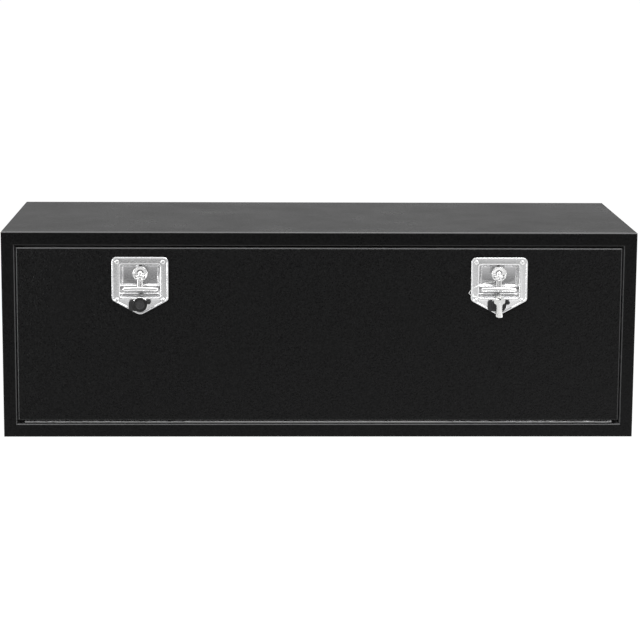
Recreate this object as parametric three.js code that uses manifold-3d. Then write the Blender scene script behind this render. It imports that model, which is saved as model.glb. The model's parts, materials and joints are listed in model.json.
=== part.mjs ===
// Underbody truck tool box: a sheet steel box with a drop-down door, a continuous hinge and two folding
// T-handle latches. Millimetres, +Z up, the door faces -Y, and the origin is the middle of the base.
import * as THREE from 'three';
import { mergeVertices } from 'three/addons/utils/BufferGeometryUtils.js';
import Module from 'manifold-3d';

const wasm = await Module();
wasm.setup();

// Box
const box_width = 1219;
const box_height = 400;
const box_depth = 457;
const sheet = 2;
const bend_radius = 3;
const seat_gap = 0.3;
const contact_gap = 0.1;
const cut_overrun = 5;
const arc_steps = 4;
const round_steps = 20;
const small_steps = 10;
const barrel_steps = 12;
const bore_steps = 8;
const hex_sides = 6;
const merge_tolerance = 1e-4;
const head_flat_share = 0.67;
const head_edge_share = 0.33;

// Front frame: a flange round the opening, a jamb going in and a stop flange behind the door
const flange_width = 25.4;
const frame_lip = 12;
const jamb_depth = 24;
const stop_width = 18;
const weld_flange = 14;
const flange_relief = 9;

// Door
const door_side_gap = 3;
const door_top_gap = 4;
const door_face_inset = 0.3;
const door_thickness = 18;
const door_bend_radius = 4;
const door_return = 14;
const stiffener_height = 70;
const stiffener_depth = 13;
const stiffener_brim = 14;
const stiffener_end_gap = 40;
const stiffener_drop = 190;

// Door seal
const seal_width = 10;
const seal_inset = 3;

// Continuous hinge
const barrel_diameter = 7;
const pin_diameter = 3.2;
const pin_clearance = 0.4;
const knuckle_count = 29;
const knuckle_gap = 0.4;
const hinge_end_gap = 12;
const leaf_thickness = 1.5;
const leaf_length = 12;
const leaf_notch_gap = 0.8;
const barrel_inset = 0.4;

// Latch plate, measured from the middle of its top edge
const latch_spacing = 689;
const plate_drop = 46.6;
const plate_beside_dish = 14;
const plate_slope_deg = 28.4;
const plate_corner = 10;
const plate_shoulder = 8;
const plate_tip = 14;
const plate_sheet = 1.5;
const gasket = 1;
const rim_width = 1.4;
const rim_height = 1.5;

// Dish stamped into the plate
const dish_top = 13;
const dish_width = 80.8;
const dish_height = 67.5;
const dish_corner = 5;
const dish_taper = 5;
const dish_depth = 18;
const step_below_hub = 6.5;
const step_slope = 7;
const step_rise = 6;
const door_hole_gap = 1;

// Rivets
const rivet_beside_dish = 3.6;
const rivet_drop = 9.8;
const rivet_head = 7.8;
const rivet_head_height = 1.8;
const rivet_shank = 4.8;
const rivet_tail = 7;
const rivet_tail_height = 1.5;
const rivet_hole_gap = 0.2;
const rivet_dimple = 2.4;
const rivet_dimple_depth = 0.5;

// Hub and shaft
const hub_drop_share = 0.3;
const hub_diameter = 29;
const hub_bore = 23;
const hub_front = 1;
const hub_floor = 2.4;
const hub_slot_gap = 0.8;
const hub_slot_depth = 9;
const shaft_diameter = 13;
const shaft_clearance = 0.4;
const shaft_square = 9;
const square_clearance = 0.2;
const stud_diameter = 7.6;
const stud_overhang = 1.5;

// Folding T-handle
const fold_depth = 5.6;
const handle_barrel = 13;
const handle_barrel_gap = 0.3;
const handle_pin_diameter = 3.6;
const handle_pin_gap = 0.25;
const handle_pin_end_gap = 0.4;
const stem_width = 10.4;
const stem_thickness = 4.6;
const groove_width = 2.6;
const groove_depth = 1.2;
const bar_above_foot = 13;
const bar_depth = 1.2;
const bar_end_gap = 6;
const bar_height = 8.5;
const bar_thickness = 7.4;
const bar_bow = 1.2;
const bar_round_share = 0.88;
const bar_end_share = 0.55;
const bar_row_shares = [-1, -0.97, -0.93, -0.88, -0.45, 0, 0.45, 0.88, 0.93, 0.97, 1];

// Cam, its spacer, washer and nut
const cam_gap = 0.8;
const cam_thickness = 4;
const cam_width = 18;
const cam_reach = 48;
const cam_tail_reach = 39;
const cam_tail_width = 8;
const tail_gap = 0.5;
const bush_diameter = 20;
const washer_diameter = 18;
const washer_thickness = 1.2;
const nut_across = 13;
const nut_height = 5;
const nut_bore_gap = 0.2;

// Lock cylinder
const lock_bezel = 28.4;
const lock_bezel_height = 3.4;
const bezel_rim_gap = 2.9;
const lock_body = 16;
const lock_body_gap = 0.3;
const plug_diameter = 12;
const plug_clearance = 0.3;
const keyway_width = 2.2;
const keyway_height = 8;
const keyway_depth = 14;
const lock_nut_across = 22;
const lock_nut_gap = 0.7;
const lock_nut_height = 4;
const tongue_length = 28;
const tongue_width = 7;
const tongue_hub = 7;
const tongue_thickness = 3;
const tongue_screw_head = 8;
const tongue_screw_height = 2.4;
const tongue_screw_shank = 4;
const tongue_screw_depth = 6;

// Rubber key flap and its pin
const flap_diameter = 26.4;
const flap_thickness = 3;
const flap_ring = 19;
const flap_ring_width = 2;
const flap_ring_height = 0.6;
const flap_tab_reach = 21.6;
const flap_tab_rise = 7.9;
const flap_tab_fall = 11.6;
const flap_tab_corner = 4.5;
const flap_pin_beside = 2.8;
const flap_pin_rise = 5;
const flap_lug = 8.4;
const flap_pin_head = 5.8;
const flap_pin_head_height = 1.2;
const flap_pin_shank = 3.4;
const flap_pin_gap = 0.25;

// Key ring and keys
const ring_wire = 1.4;
const ring_reach = 50;
const ring_above_bar = 6;
const ring_below_flap_top = 0.2;
const ring_step_gap = 1.4;
const ring_steps = 44;
const ring_samples = 352;
const ring_sides = 6;
const key_thickness = 1.8;
const key_gap = 0.5;
const key_hole = 5;
const key_bow_width = 21;
const key_bow_top_width = 10;
const key_bow_height = 17.2;
const key_bow_flank_shares = [0.4, 0.78];
const key_top = 5.2;
const key_blade_width = 10.4;
const key_length = 42;
const key_cut_depth = 1.8;
const key_cut_shares = [0.5, 0.8, 0.65, 1];
const key_tip = 2.5;
const key_tip_height = 6.3;
const key_fan_deg = 2.5;

// The wire loop's route, behind the T's stem, round under the bar, forward through the keys and in front
// of the plate on the left. Each row gives shares: of its reach to the left, of the way back from its
// front, and of the way down from its top
const ring_route_shares = [
  [-1, 0.23, 0.54],
  [-0.82, 0.24, 0.2],
  [-0.52, 0.4, 0.035],
  [-0.26, 0.89, 0],
  [0, 1, 0.05],
  [0.16, 1, 0.2],
  [0.17, 0.98, 0.44],
  [0.1, 0.76, 0.66],
  [0.052, 0.49, 0.825],
  [0.02, 0.385, 0.925],
  [0.004, 0.21, 0.963],
  [-0.024, 0.04, 0.987],
  [-0.14, 0, 1],
  [-0.4, 0.14, 0.98],
  [-0.74, 0.2, 0.88],
  [-0.94, 0.22, 0.74],
];

// Places worked out from the sizes above
const plate_slope = THREE.MathUtils.degToRad(plate_slope_deg);
const dish_foot = dish_top + dish_height;
const plate_width = dish_width + 2 * plate_beside_dish;
const lock_drop = dish_foot + lock_nut_gap + lock_nut_across / 2;
const plate_height = lock_drop + (lock_bezel / 2 + bezel_rim_gap + rim_width) / Math.cos(plate_slope);
const plate_side = plate_height - (plate_width / 2) * Math.tan(plate_slope);
const hub_drop = dish_top + hub_drop_share * dish_height;
const step_drop = hub_drop + hub_diameter / 2 + step_below_hub;
const bar_drop = dish_foot - bar_above_foot - bar_height / 2;
const bar_length = dish_width - 2 * bar_end_gap;
const handle_barrel_reach = hub_bore / 2 - handle_barrel_gap;
const handle_barrel_length = 2 * Math.sqrt(handle_barrel_reach ** 2 - (handle_barrel / 2) ** 2);
const flap_pin_x = lock_bezel / 2 + flap_pin_beside;
const plate_rear = -gasket - 2 * contact_gap;
const plate_front = plate_rear - plate_sheet;
const latch_stack = -plate_front;
const lock_front = plate_front - contact_gap - lock_bezel_height;
const flap_back = Math.min(lock_front, plate_front - rim_height) - seat_gap;
const flap_front = flap_back - flap_thickness;
const key_back = flap_front - flap_ring_height - seat_gap;
const key_front = key_back - 2 * key_thickness - key_gap;
const ring_top_drop = bar_drop - bar_height / 2 - ring_above_bar;
const ring_foot_drop = lock_drop - flap_diameter / 2 + ring_below_flap_top;
const ring_front_depth = key_front - 1.5 * key_thickness;
const ring_rear_depth = dish_depth - latch_stack - step_rise - ring_wire / 2 - ring_step_gap;
const latch_reach = ring_wire / 2 - Math.min(...ringPlaces().map((point) => point.y));
const front = -(box_depth + door_face_inset - latch_reach) / 2;
const back = front + box_depth;
const half_width = box_width / 2;
const opening_half = half_width - flange_width;
const opening_low = flange_width;
const opening_high = box_height - flange_width;
const door_half = opening_half - door_side_gap;
const barrel_seat = barrel_diameter / 2 + seat_gap;
const hinge_z = opening_low + barrel_seat;
const hinge_y = front + barrel_diameter / 2 + barrel_inset;
const hinge_half = door_half - hinge_end_gap;
const knuckle_length = (2 * hinge_half) / knuckle_count;
const door_low = hinge_z + barrel_seat;
const door_high = opening_high - door_top_gap;
const door_front = front + door_face_inset;
const door_back = door_front + door_thickness;
const stop_front = front + jamb_depth;
const stop_back = stop_front + sheet;
const dish_floor = dish_depth - latch_stack;
const dish_back = dish_floor + plate_sheet;
const cam_front = stop_back + cam_gap - door_front;
const cam_back = cam_front + cam_thickness;
const washer_front = cam_back + contact_gap;
const nut_back = washer_front + washer_thickness + contact_gap + nut_height;
const plug_back = cam_front - seat_gap;

const steel_black = { color: 0x17181a, roughness: 0.62, metalness: 0.2 };
const stainless = { color: 0xc9cbcc, roughness: 0.32, metalness: 1 };
const zinc = { color: 0x9fa3a6, roughness: 0.4, metalness: 1 };
const rubber = { color: 0x121212, roughness: 0.85, metalness: 0 };
const brass = { color: 0xb08d4a, roughness: 0.35, metalness: 1 };
const nickel = { color: 0xd9d8d2, roughness: 0.25, metalness: 1 };

function ringCurve() {
  const points = ring_route_shares.map(([across, rearward, down]) => new THREE.Vector3(
    across * ring_reach,
    THREE.MathUtils.lerp(ring_front_depth, ring_rear_depth, rearward),
    THREE.MathUtils.lerp(-ring_top_drop, -ring_foot_drop, down),
  ));
  return new THREE.CatmullRomCurve3(points, true, 'centripetal');
}

function ringPlaces() {
  return ringCurve().getSpacedPoints(ring_samples);
}

// Solids: joining, cutting and back to a mesh
function solid(geometry) {
  const bare = geometry.clone();
  bare.deleteAttribute('normal');
  bare.deleteAttribute('uv');
  const merged = mergeVertices(bare, merge_tolerance);
  const vertProperties = new Float32Array(merged.attributes.position.array);
  const triVerts = new Uint32Array(merged.index.array);
  return new wasm.Manifold(new wasm.Mesh({ numProp: 3, vertProperties, triVerts }));
}

function geometryOf(body) {
  const mesh = body.getMesh();
  const geometry = new THREE.BufferGeometry();
  geometry.setAttribute('position', new THREE.BufferAttribute(new Float32Array(mesh.vertProperties), 3));
  geometry.setIndex(new THREE.BufferAttribute(new Uint32Array(mesh.triVerts), 1));
  geometry.computeVertexNormals();
  return geometry;
}

function united(geometries) {
  return geometries.slice(1).reduce((sum, part) => sum.add(solid(part)), solid(geometries[0]));
}

function named(name, geometry, finish) {
  const mesh = new THREE.Mesh(geometry, new THREE.MeshStandardMaterial(finish));
  mesh.name = name;
  return mesh;
}

// Outlines
function roundedShape(corners) {
  const shape = new THREE.Shape();
  const count = corners.length;
  corners.forEach(([x, y, radius], index) => {
    const [px, py] = corners[(index + count - 1) % count];
    const [nx, ny] = corners[(index + 1) % count];
    const here = new THREE.Vector2(x, y);
    const to_last = new THREE.Vector2(px, py).sub(here).normalize();
    const to_next = new THREE.Vector2(nx, ny).sub(here).normalize();
    const half_angle = Math.acos(THREE.MathUtils.clamp(to_last.dot(to_next), -1, 1)) / 2;
    const reach = radius / Math.tan(half_angle);
    const start = here.clone().addScaledVector(to_last, reach);
    const middle = to_last.clone().add(to_next).normalize();
    const centre = here.clone().addScaledVector(middle, radius / Math.sin(half_angle));
    const end = here.clone().addScaledVector(to_next, reach);
    const first = Math.atan2(start.y - centre.y, start.x - centre.x);
    const swing = Math.atan2(end.y - centre.y, end.x - centre.x) - first;
    const turn = Math.atan2(Math.sin(swing), Math.cos(swing));
    const steps = radius > 0 ? arc_steps : 0;
    for (let step = 0; step <= steps; step += 1) {
      const angle = first + turn * (steps > 0 ? step / steps : 0);
      const point = radius > 0
        ? new THREE.Vector2(centre.x + radius * Math.cos(angle), centre.y + radius * Math.sin(angle))
        : here;
      if (index === 0 && step === 0) shape.moveTo(point.x, point.y);
      else shape.lineTo(point.x, point.y);
    }
  });
  shape.closePath();
  return shape;
}

function rectangle(half_x, low_z, high_z, radius) {
  return roundedShape([
    [-half_x, low_z, radius],
    [half_x, low_z, radius],
    [half_x, high_z, radius],
    [-half_x, high_z, radius],
  ]);
}

function circlePoints(x, y, radius, sides) {
  return Array.from({ length: sides }, (_, index) => {
    const angle = (2 * Math.PI * index) / sides;
    return new THREE.Vector2(x + radius * Math.cos(angle), y + radius * Math.sin(angle));
  });
}

function circleShape(x, y, radius, sides = round_steps) {
  return new THREE.Shape(circlePoints(x, y, radius, sides));
}

function circleHole(x, y, radius, sides = round_steps) {
  return new THREE.Path(circlePoints(x, y, radius, sides));
}

// Extrusions: an outline in X and Z through Y, and an outline in Y and Z along X
function throughY(shape, near, far) {
  const geometry = new THREE.ExtrudeGeometry(shape, { depth: far - near, bevelEnabled: false });
  const basis = new THREE.Matrix4().makeBasis(
    new THREE.Vector3(1, 0, 0),
    new THREE.Vector3(0, 0, 1),
    new THREE.Vector3(0, -1, 0),
  );
  return geometry.applyMatrix4(basis).translate(0, far, 0);
}

function alongX(shape, low, high) {
  const geometry = new THREE.ExtrudeGeometry(shape, { depth: high - low, bevelEnabled: false });
  const basis = new THREE.Matrix4().makeBasis(
    new THREE.Vector3(0, 1, 0),
    new THREE.Vector3(0, 0, 1),
    new THREE.Vector3(1, 0, 0),
  );
  return geometry.applyMatrix4(basis).translate(low, 0, 0);
}

function straightShape(corners) {
  return new THREE.Shape(corners.map(([x, y]) => new THREE.Vector2(x, y)));
}

// A turned piece on an axis along Y, its profile given as radius and depth, starting and ending on the axis
function turnedY(profile, x = 0, z = 0, sides = round_steps) {
  const points = profile.map(([radius, depth]) => new THREE.Vector2(radius, depth));
  const geometry = new THREE.LatheGeometry(points, sides);
  return geometry.translate(x, 0, z);
}

function disc(radius, near, far, x = 0, z = 0, sides = round_steps) {
  return turnedY([[0, near], [radius, near], [radius, far], [0, far]], x, z, sides);
}

function bar(x0, x1, y0, y1, z0, z1) {
  const geometry = new THREE.BoxGeometry(x1 - x0, y1 - y0, z1 - z0);
  return geometry.translate((x0 + x1) / 2, (y0 + y1) / 2, (z0 + z1) / 2);
}

// A closed profile, in distance in from the edge and depth, carried round a rectangle with mitred corners
function mitredRing(profile, half_x, low_z, high_z) {
  const positions = [];
  const index = [];
  const corners = [[-1, 0], [1, 0], [1, 1], [-1, 1]];
  corners.forEach(([side, up]) => {
    profile.forEach(([inward, depth]) => {
      const x = side * (half_x - inward);
      const z = up ? high_z - inward : low_z + inward;
      positions.push(x, depth, z);
    });
  });
  const count = profile.length;
  for (let corner = 0; corner < corners.length; corner += 1) {
    const next = (corner + 1) % corners.length;
    for (let point = 0; point < count; point += 1) {
      const after = (point + 1) % count;
      const a = corner * count + point;
      const b = corner * count + after;
      const c = next * count + after;
      const d = next * count + point;
      index.push(a, b, c, a, c, d);
    }
  }
  const geometry = new THREE.BufferGeometry();
  geometry.setAttribute('position', new THREE.Float32BufferAttribute(positions, 3));
  geometry.setIndex(index);
  return geometry;
}

function arcPoints(inward, depth, radius, first_deg, last_deg) {
  return Array.from({ length: arc_steps + 1 }, (_, step) => {
    const angle = THREE.MathUtils.degToRad(first_deg + ((last_deg - first_deg) * step) / arc_steps);
    return [inward + radius * Math.cos(angle), depth + radius * Math.sin(angle)];
  });
}

// Body sheets. Each end panel has three straight weld flanges with a relief at the corners between them
function bodyWrap() {
  const start = front + frame_lip;
  const outer = roundedShape([
    [start, box_height, 0],
    [start, box_height - sheet, 0],
    [back - sheet, box_height - sheet, bend_radius],
    [back - sheet, sheet, bend_radius],
    [start, sheet, 0],
    [start, 0, 0],
    [back, 0, bend_radius + sheet],
    [back, box_height, bend_radius + sheet],
  ]);
  return named('body_wrap', alongX(outer, -half_width + sheet, half_width - sheet), steel_black);
}

function endPanel(name, side) {
  const inner = half_width - sheet;
  const flange_end = inner - weld_flange;
  const panel_x = [side * inner, side * half_width].sort((a, b) => a - b);
  const [near_x, far_x] = [side * flange_end, side * inner].sort((a, b) => a - b);
  const start = front + frame_lip;
  const outline = roundedShape([
    [start, 0, 0],
    [back, 0, bend_radius + sheet],
    [back, box_height, bend_radius + sheet],
    [start, box_height, 0],
  ]);
  const flange_start = stop_back + cam_gap + cam_thickness;
  const flange_back = back - sheet - seat_gap;
  const flange_low = sheet + seat_gap;
  const flange_high = box_height - flange_low;
  const relief_back = flange_back - flange_relief;
  const relief_low = flange_low + flange_relief;
  const relief_high = flange_high - flange_relief;
  const panel = united([
    alongX(outline, panel_x[0], panel_x[1]),
    bar(near_x, far_x, flange_start, relief_back, flange_low, flange_low + sheet),
    bar(near_x, far_x, flange_start, relief_back, flange_high - sheet, flange_high),
    bar(near_x, far_x, flange_back - sheet, flange_back, relief_low, relief_high),
  ]);
  return named(name, geometryOf(panel), steel_black);
}

function frontFrame() {
  const inner_bend = flange_width - bend_radius;
  const profile = [
    [0, front + frame_lip],
    [sheet, front + frame_lip],
    [sheet, front + sheet],
    [flange_width - sheet, front + sheet],
    [flange_width - sheet, stop_back],
    [flange_width + stop_width, stop_back],
    [flange_width + stop_width, stop_front],
    [flange_width, stop_front],
    ...arcPoints(inner_bend, front + bend_radius, bend_radius, 0, -90),
    ...arcPoints(bend_radius, front + bend_radius, bend_radius, -90, -180),
  ];
  return named('front_frame', mitredRing(profile, half_width, 0, box_height), steel_black);
}

function doorSeal() {
  const near = door_back + seat_gap;
  const bulb = (stop_front - near) / 2;
  const inner = flange_width + seal_inset;
  const profile = [
    [inner, stop_front],
    [inner + seal_width, stop_front],
    ...arcPoints(inner + seal_width - bulb, stop_front - bulb, bulb, 0, -90),
    ...arcPoints(inner + bulb, stop_front - bulb, bulb, -90, -180),
  ];
  return named('door_seal', mitredRing(profile, half_width, 0, box_height), rubber);
}

// Door
function doorSkin() {
  const profile = [
    [0, door_back],
    [door_return, door_back],
    [door_return, door_back - sheet],
    [sheet, door_back - sheet],
    [sheet, door_front + sheet],
    [2 * door_bend_radius, door_front + sheet],
    [2 * door_bend_radius, door_front],
    ...arcPoints(door_bend_radius, door_front + door_bend_radius, door_bend_radius, -90, -180),
  ];
  const inner_half = door_half - door_bend_radius;
  const face = throughY(
    rectangle(inner_half, door_low + door_bend_radius, door_high - door_bend_radius, 0),
    door_front,
    door_front + sheet,
  );
  let pan = united([mitredRing(profile, door_half, door_low, door_high), face]);
  latchPlaces().forEach(({ x }) => {
    const dish_hole = throughY(dishOutline(door_hole_gap + plate_sheet), -cut_overrun, cut_overrun);
    pan = pan.translate(-x, -door_front, -plateTop()).subtract(solid(dish_hole));
    pan = withPlateHoles(pan, -cut_overrun).translate(x, door_front, plateTop());
  });
  return named('door_skin', geometryOf(pan), steel_black);
}

function doorStiffener() {
  const near = door_front + sheet + seat_gap;
  const far = near + stiffener_depth;
  const middle = plateTop() - stiffener_drop;
  const half = stiffener_height / 2;
  const profile = [
    [near, middle - half - stiffener_brim],
    [near, middle - half],
    [far - sheet, middle - half],
    [far - sheet, middle + half],
    [near, middle + half],
    [near, middle + half + stiffener_brim],
    [near + sheet, middle + half + stiffener_brim],
    [near + sheet, middle + half + sheet],
    [far, middle + half + sheet],
    [far, middle - half - sheet],
    [near + sheet, middle - half - sheet],
    [near + sheet, middle - half - stiffener_brim],
  ];
  const reach = door_half - door_return - stiffener_end_gap;
  return named('door_stiffener', alongX(straightShape(profile), -reach, reach), steel_black);
}

// Continuous hinge
function hingeLeaf(name, first, face_side) {
  const barrel = barrel_diameter / 2;
  const leaf_face = face_side * barrel;
  const leaf_inner = face_side * (barrel - leaf_thickness);
  const leaf_low = hinge_z + Math.min(leaf_face, leaf_inner);
  const leaf_high = hinge_z + Math.max(leaf_face, leaf_inner);
  const strip_start = hinge_y + barrel + leaf_notch_gap;
  const strip_end = strip_start + leaf_length - barrel;
  let leaf = solid(bar(-hinge_half, hinge_half, strip_start, strip_end, leaf_low, leaf_high));
  for (let index = first; index < knuckle_count; index += 2) {
    const start = -hinge_half + index * knuckle_length + knuckle_gap / 2;
    const end = start + knuckle_length - knuckle_gap;
    const tube = alongX(circleShape(hinge_y, hinge_z, barrel, barrel_steps), start, end);
    const neck = bar(start, end, hinge_y, strip_start + leaf_notch_gap, leaf_low, leaf_high);
    leaf = leaf.add(solid(tube)).add(solid(neck));
  }
  const bore = circleShape(hinge_y, hinge_z, pin_diameter / 2 + pin_clearance, bore_steps);
  leaf = leaf.subtract(solid(alongX(bore, -hinge_half - cut_overrun, hinge_half + cut_overrun)));
  return named(name, geometryOf(leaf), stainless);
}

function hingePin() {
  const shape = circleShape(hinge_y, hinge_z, pin_diameter / 2, bore_steps);
  return named('hinge_pin', alongX(shape, -hinge_half, hinge_half), stainless);
}

// Latches. Each is drawn from the middle of its plate's top edge, on the door's front face
function plateTop() {
  return box_height - plate_drop;
}

function latchPlaces() {
  return [
    { side: 'left', x: -latch_spacing / 2 },
    { side: 'right', x: latch_spacing / 2 },
  ];
}

function rivetPlaces() {
  const half = dish_width / 2 + rivet_beside_dish;
  const edge = -plate_height + half * Math.tan(plate_slope);
  const low = edge + (rim_width + rivet_head / 2 + contact_gap) / Math.cos(plate_slope);
  return [[-half, -rivet_drop], [half, -rivet_drop], [half, low], [-half, low]];
}

function flapPinDrop() {
  return lock_drop - flap_pin_rise;
}

function plateOutline(inset) {
  const half = plate_width / 2 - inset;
  const lean = (inset * (1 - Math.sin(plate_slope))) / Math.cos(plate_slope);
  const tip = plate_height - inset / Math.cos(plate_slope);
  return roundedShape([
    [-half, -inset, plate_corner - inset],
    [-half, -plate_side + lean, plate_shoulder - inset],
    [0, -tip, plate_tip - inset],
    [half, -plate_side + lean, plate_shoulder - inset],
    [half, -inset, plate_corner - inset],
  ]);
}

function dishOutline(grow) {
  const high = -dish_top + grow;
  return rectangle(dish_width / 2 + grow, high - dish_height - 2 * grow, high, dish_corner + grow);
}

// A tapered pocket: the same outline at the mouth and, drawn in, at the floor
function pocket(grow, near, far) {
  const mouth = dishOutline(grow).getPoints();
  const slope = dish_taper / dish_depth;
  const middle = -dish_top - dish_height / 2;
  const half_x = dish_width / 2 + grow;
  const half_z = dish_height / 2 + grow;
  const positions = [];
  const index = [];
  const count = mouth.length;
  [near, far].forEach((depth) => {
    const draw = slope * (depth + latch_stack);
    mouth.forEach((point) => {
      const x = point.x * ((half_x - draw) / half_x);
      const z = middle + (point.y - middle) * ((half_z - draw) / half_z);
      positions.push(x, depth, z);
    });
  });
  for (let point = 0; point < count; point += 1) {
    const after = (point + 1) % count;
    index.push(point, count + after, after, point, count + point, count + after);
  }
  THREE.ShapeUtils.triangulateShape(mouth, []).forEach(([a, b, c]) => {
    index.push(a, b, c, count + a, count + c, count + b);
  });
  const geometry = new THREE.BufferGeometry();
  geometry.setAttribute('position', new THREE.Float32BufferAttribute(positions, 3));
  geometry.setIndex(index);
  return geometry;
}

function stepProfile(floor, near) {
  return straightShape([
    [near, -dish_top + cut_overrun],
    [near, -dish_top - dish_height - cut_overrun],
    [floor - step_rise, -dish_top - dish_height - cut_overrun],
    [floor - step_rise, -step_drop - step_slope],
    [floor, -step_drop],
    [floor, -dish_top + cut_overrun],
  ]);
}

// The holes that the lock, the flap's pin and the rivets share in the door, the gasket and the plate
function withPlateHoles(body, near) {
  const rivet_hole = rivet_shank / 2 + rivet_hole_gap;
  const holes = [
    disc(lock_body / 2 + lock_body_gap, near, cut_overrun, 0, -lock_drop),
    disc(flap_pin_shank / 2 + flap_pin_gap, near, cut_overrun, flap_pin_x, -flapPinDrop(), small_steps),
    ...rivetPlaces().map(([x, z]) => disc(rivet_hole, near, cut_overrun, x, z, small_steps)),
  ];
  return holes.reduce((rest, hole) => rest.subtract(solid(hole)), body);
}

function steppedPocket(grow, near, floor) {
  const step = alongX(stepProfile(floor, near - cut_overrun), -dish_width, dish_width);
  return solid(pocket(grow, near, floor)).intersect(solid(step));
}

function latchPlate(side) {
  const rim_shape = plateOutline(0);
  rim_shape.holes.push(plateOutline(rim_width));
  let plate = solid(throughY(plateOutline(0), plate_front, plate_rear))
    .add(solid(throughY(rim_shape, plate_front - rim_height, plate_rear)))
    .add(steppedPocket(plate_sheet, plate_front, dish_back))
    .subtract(steppedPocket(0, plate_front - rim_height, dish_floor));
  const near = plate_front - cut_overrun;
  const shaft_radius = (shaft_diameter + shaft_clearance) / 2;
  const shaft_hole = disc(shaft_radius, near, dish_back + cut_overrun, 0, -hub_drop);
  plate = plate.subtract(solid(shaft_hole));
  return named(`${side}_latch_plate`, geometryOf(withPlateHoles(plate, near)), stainless);
}

function plateGasket(side) {
  const dish_hole = throughY(dishOutline(plate_sheet + door_hole_gap / 2), -cut_overrun, cut_overrun);
  const body = solid(throughY(plateOutline(rim_width), -contact_gap - gasket, -contact_gap))
    .subtract(solid(dish_hole));
  return named(`${side}_plate_gasket`, geometryOf(withPlateHoles(body, -cut_overrun)), rubber);
}

function plateRivet(side, number, x, z) {
  const head = plate_front - contact_gap;
  const tail = sheet + contact_gap;
  const profile = [
    [0, head - rivet_head_height + rivet_dimple_depth],
    [rivet_dimple / 2, head - rivet_head_height + rivet_dimple_depth],
    [rivet_dimple / 2, head - rivet_head_height],
    [(head_flat_share * rivet_head) / 2, head - rivet_head_height],
    [rivet_head / 2, head - head_edge_share * rivet_head_height],
    [rivet_head / 2, head],
    [rivet_shank / 2, head],
    [rivet_shank / 2, tail],
    [rivet_tail / 2, tail],
    [rivet_tail / 2, tail + rivet_tail_height],
    [0, tail + rivet_tail_height],
  ];
  return named(`${side}_latch_rivet_${number}`, turnedY(profile, x, z, small_steps), stainless);
}

function hub(side) {
  const base = dish_floor - seat_gap;
  const cup_floor = base - hub_floor;
  const radius = hub_diameter / 2;
  const shoulder = cam_front - contact_gap;
  const square = shaft_square / 2;
  let body = united([
    disc(radius, hub_front, base, 0, -hub_drop),
    disc(shaft_diameter / 2, cup_floor, shoulder, 0, -hub_drop),
    bar(-square, square, shoulder, cam_back - seat_gap, -hub_drop - square, -hub_drop + square),
    disc(stud_diameter / 2, cup_floor, nut_back + stud_overhang, 0, -hub_drop, small_steps),
  ]);
  body = body.subtract(solid(disc(hub_bore / 2, hub_front - cut_overrun, cup_floor, 0, -hub_drop)));
  const slot_half = stem_width / 2 + hub_slot_gap;
  const slot = bar(
    -slot_half,
    slot_half,
    hub_front - cut_overrun,
    hub_slot_depth,
    -hub_drop - radius - cut_overrun,
    -hub_drop,
  );
  const pin_bore = alongX(
    circleShape(fold_depth, -hub_drop, handle_pin_diameter / 2 + handle_pin_gap, small_steps),
    -radius - cut_overrun,
    radius + cut_overrun,
  );
  body = body.subtract(solid(slot)).subtract(solid(pin_bore));
  return named(`${side}_handle_hub`, geometryOf(body), stainless);
}

function handlePin(side) {
  const reach = hub_diameter / 2 - handle_pin_end_gap - seat_gap;
  const shape = circleShape(fold_depth, -hub_drop, handle_pin_diameter / 2, small_steps);
  return named(`${side}_handle_pin`, alongX(shape, -reach, reach), stainless);
}

// A row of matching outlines joined by straight walls and closed at both ends
function loft(sections) {
  const positions = [];
  const index = [];
  const count = sections[0].length;
  sections.forEach((section) => section.forEach((point) => positions.push(point.x, point.y, point.z)));
  for (let layer = 0; layer + 1 < sections.length; layer += 1) {
    for (let point = 0; point < count; point += 1) {
      const after = (point + 1) % count;
      const a = layer * count + point;
      const b = layer * count + after;
      index.push(a, b, b + count, a, b + count, a + count);
    }
  }
  const last = (sections.length - 1) * count;
  for (let point = 1; point + 1 < count; point += 1) {
    index.push(0, point + 1, point, last, last + point, last + point + 1);
  }
  const geometry = new THREE.BufferGeometry();
  geometry.setAttribute('position', new THREE.Float32BufferAttribute(positions, 3));
  geometry.setIndex(index);
  return geometry;
}

function barSection(share) {
  const half = bar_length / 2;
  const edge = Math.abs(share);
  const past_round = Math.max(0, (edge - bar_round_share) / (1 - bar_round_share));
  const round = Math.sqrt(1 - past_round ** 2 * (1 - bar_end_share ** 2));
  const drop = -bar_drop + bar_bow * (1 - edge * edge) - bar_bow / 2;
  return Array.from({ length: barrel_steps }, (_, index) => {
    const angle = (2 * Math.PI * (index + 0.5)) / barrel_steps;
    const y = bar_depth + (bar_thickness / 2) * round * Math.cos(angle);
    const z = drop + (bar_height / 2) * round * Math.sin(angle);
    return new THREE.Vector3(share * half, y, z);
  });
}

// A strip of the stem in Y and Z, from the folding pin to the bar, between two heights over its middle
function stemStrip(low, high, half_width_x) {
  const top = new THREE.Vector2(fold_depth, -hub_drop);
  const foot = new THREE.Vector2(bar_depth, -bar_drop);
  const lean = foot.clone().sub(top).normalize();
  const outward = new THREE.Vector2(lean.y, -lean.x);
  const corners = [[top, low], [foot, low], [foot, high], [top, high]].map(([place, height]) => {
    const corner = place.clone().addScaledVector(outward, height);
    return [corner.x, corner.y];
  });
  return alongX(straightShape(corners.reverse()), -half_width_x, half_width_x);
}

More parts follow.
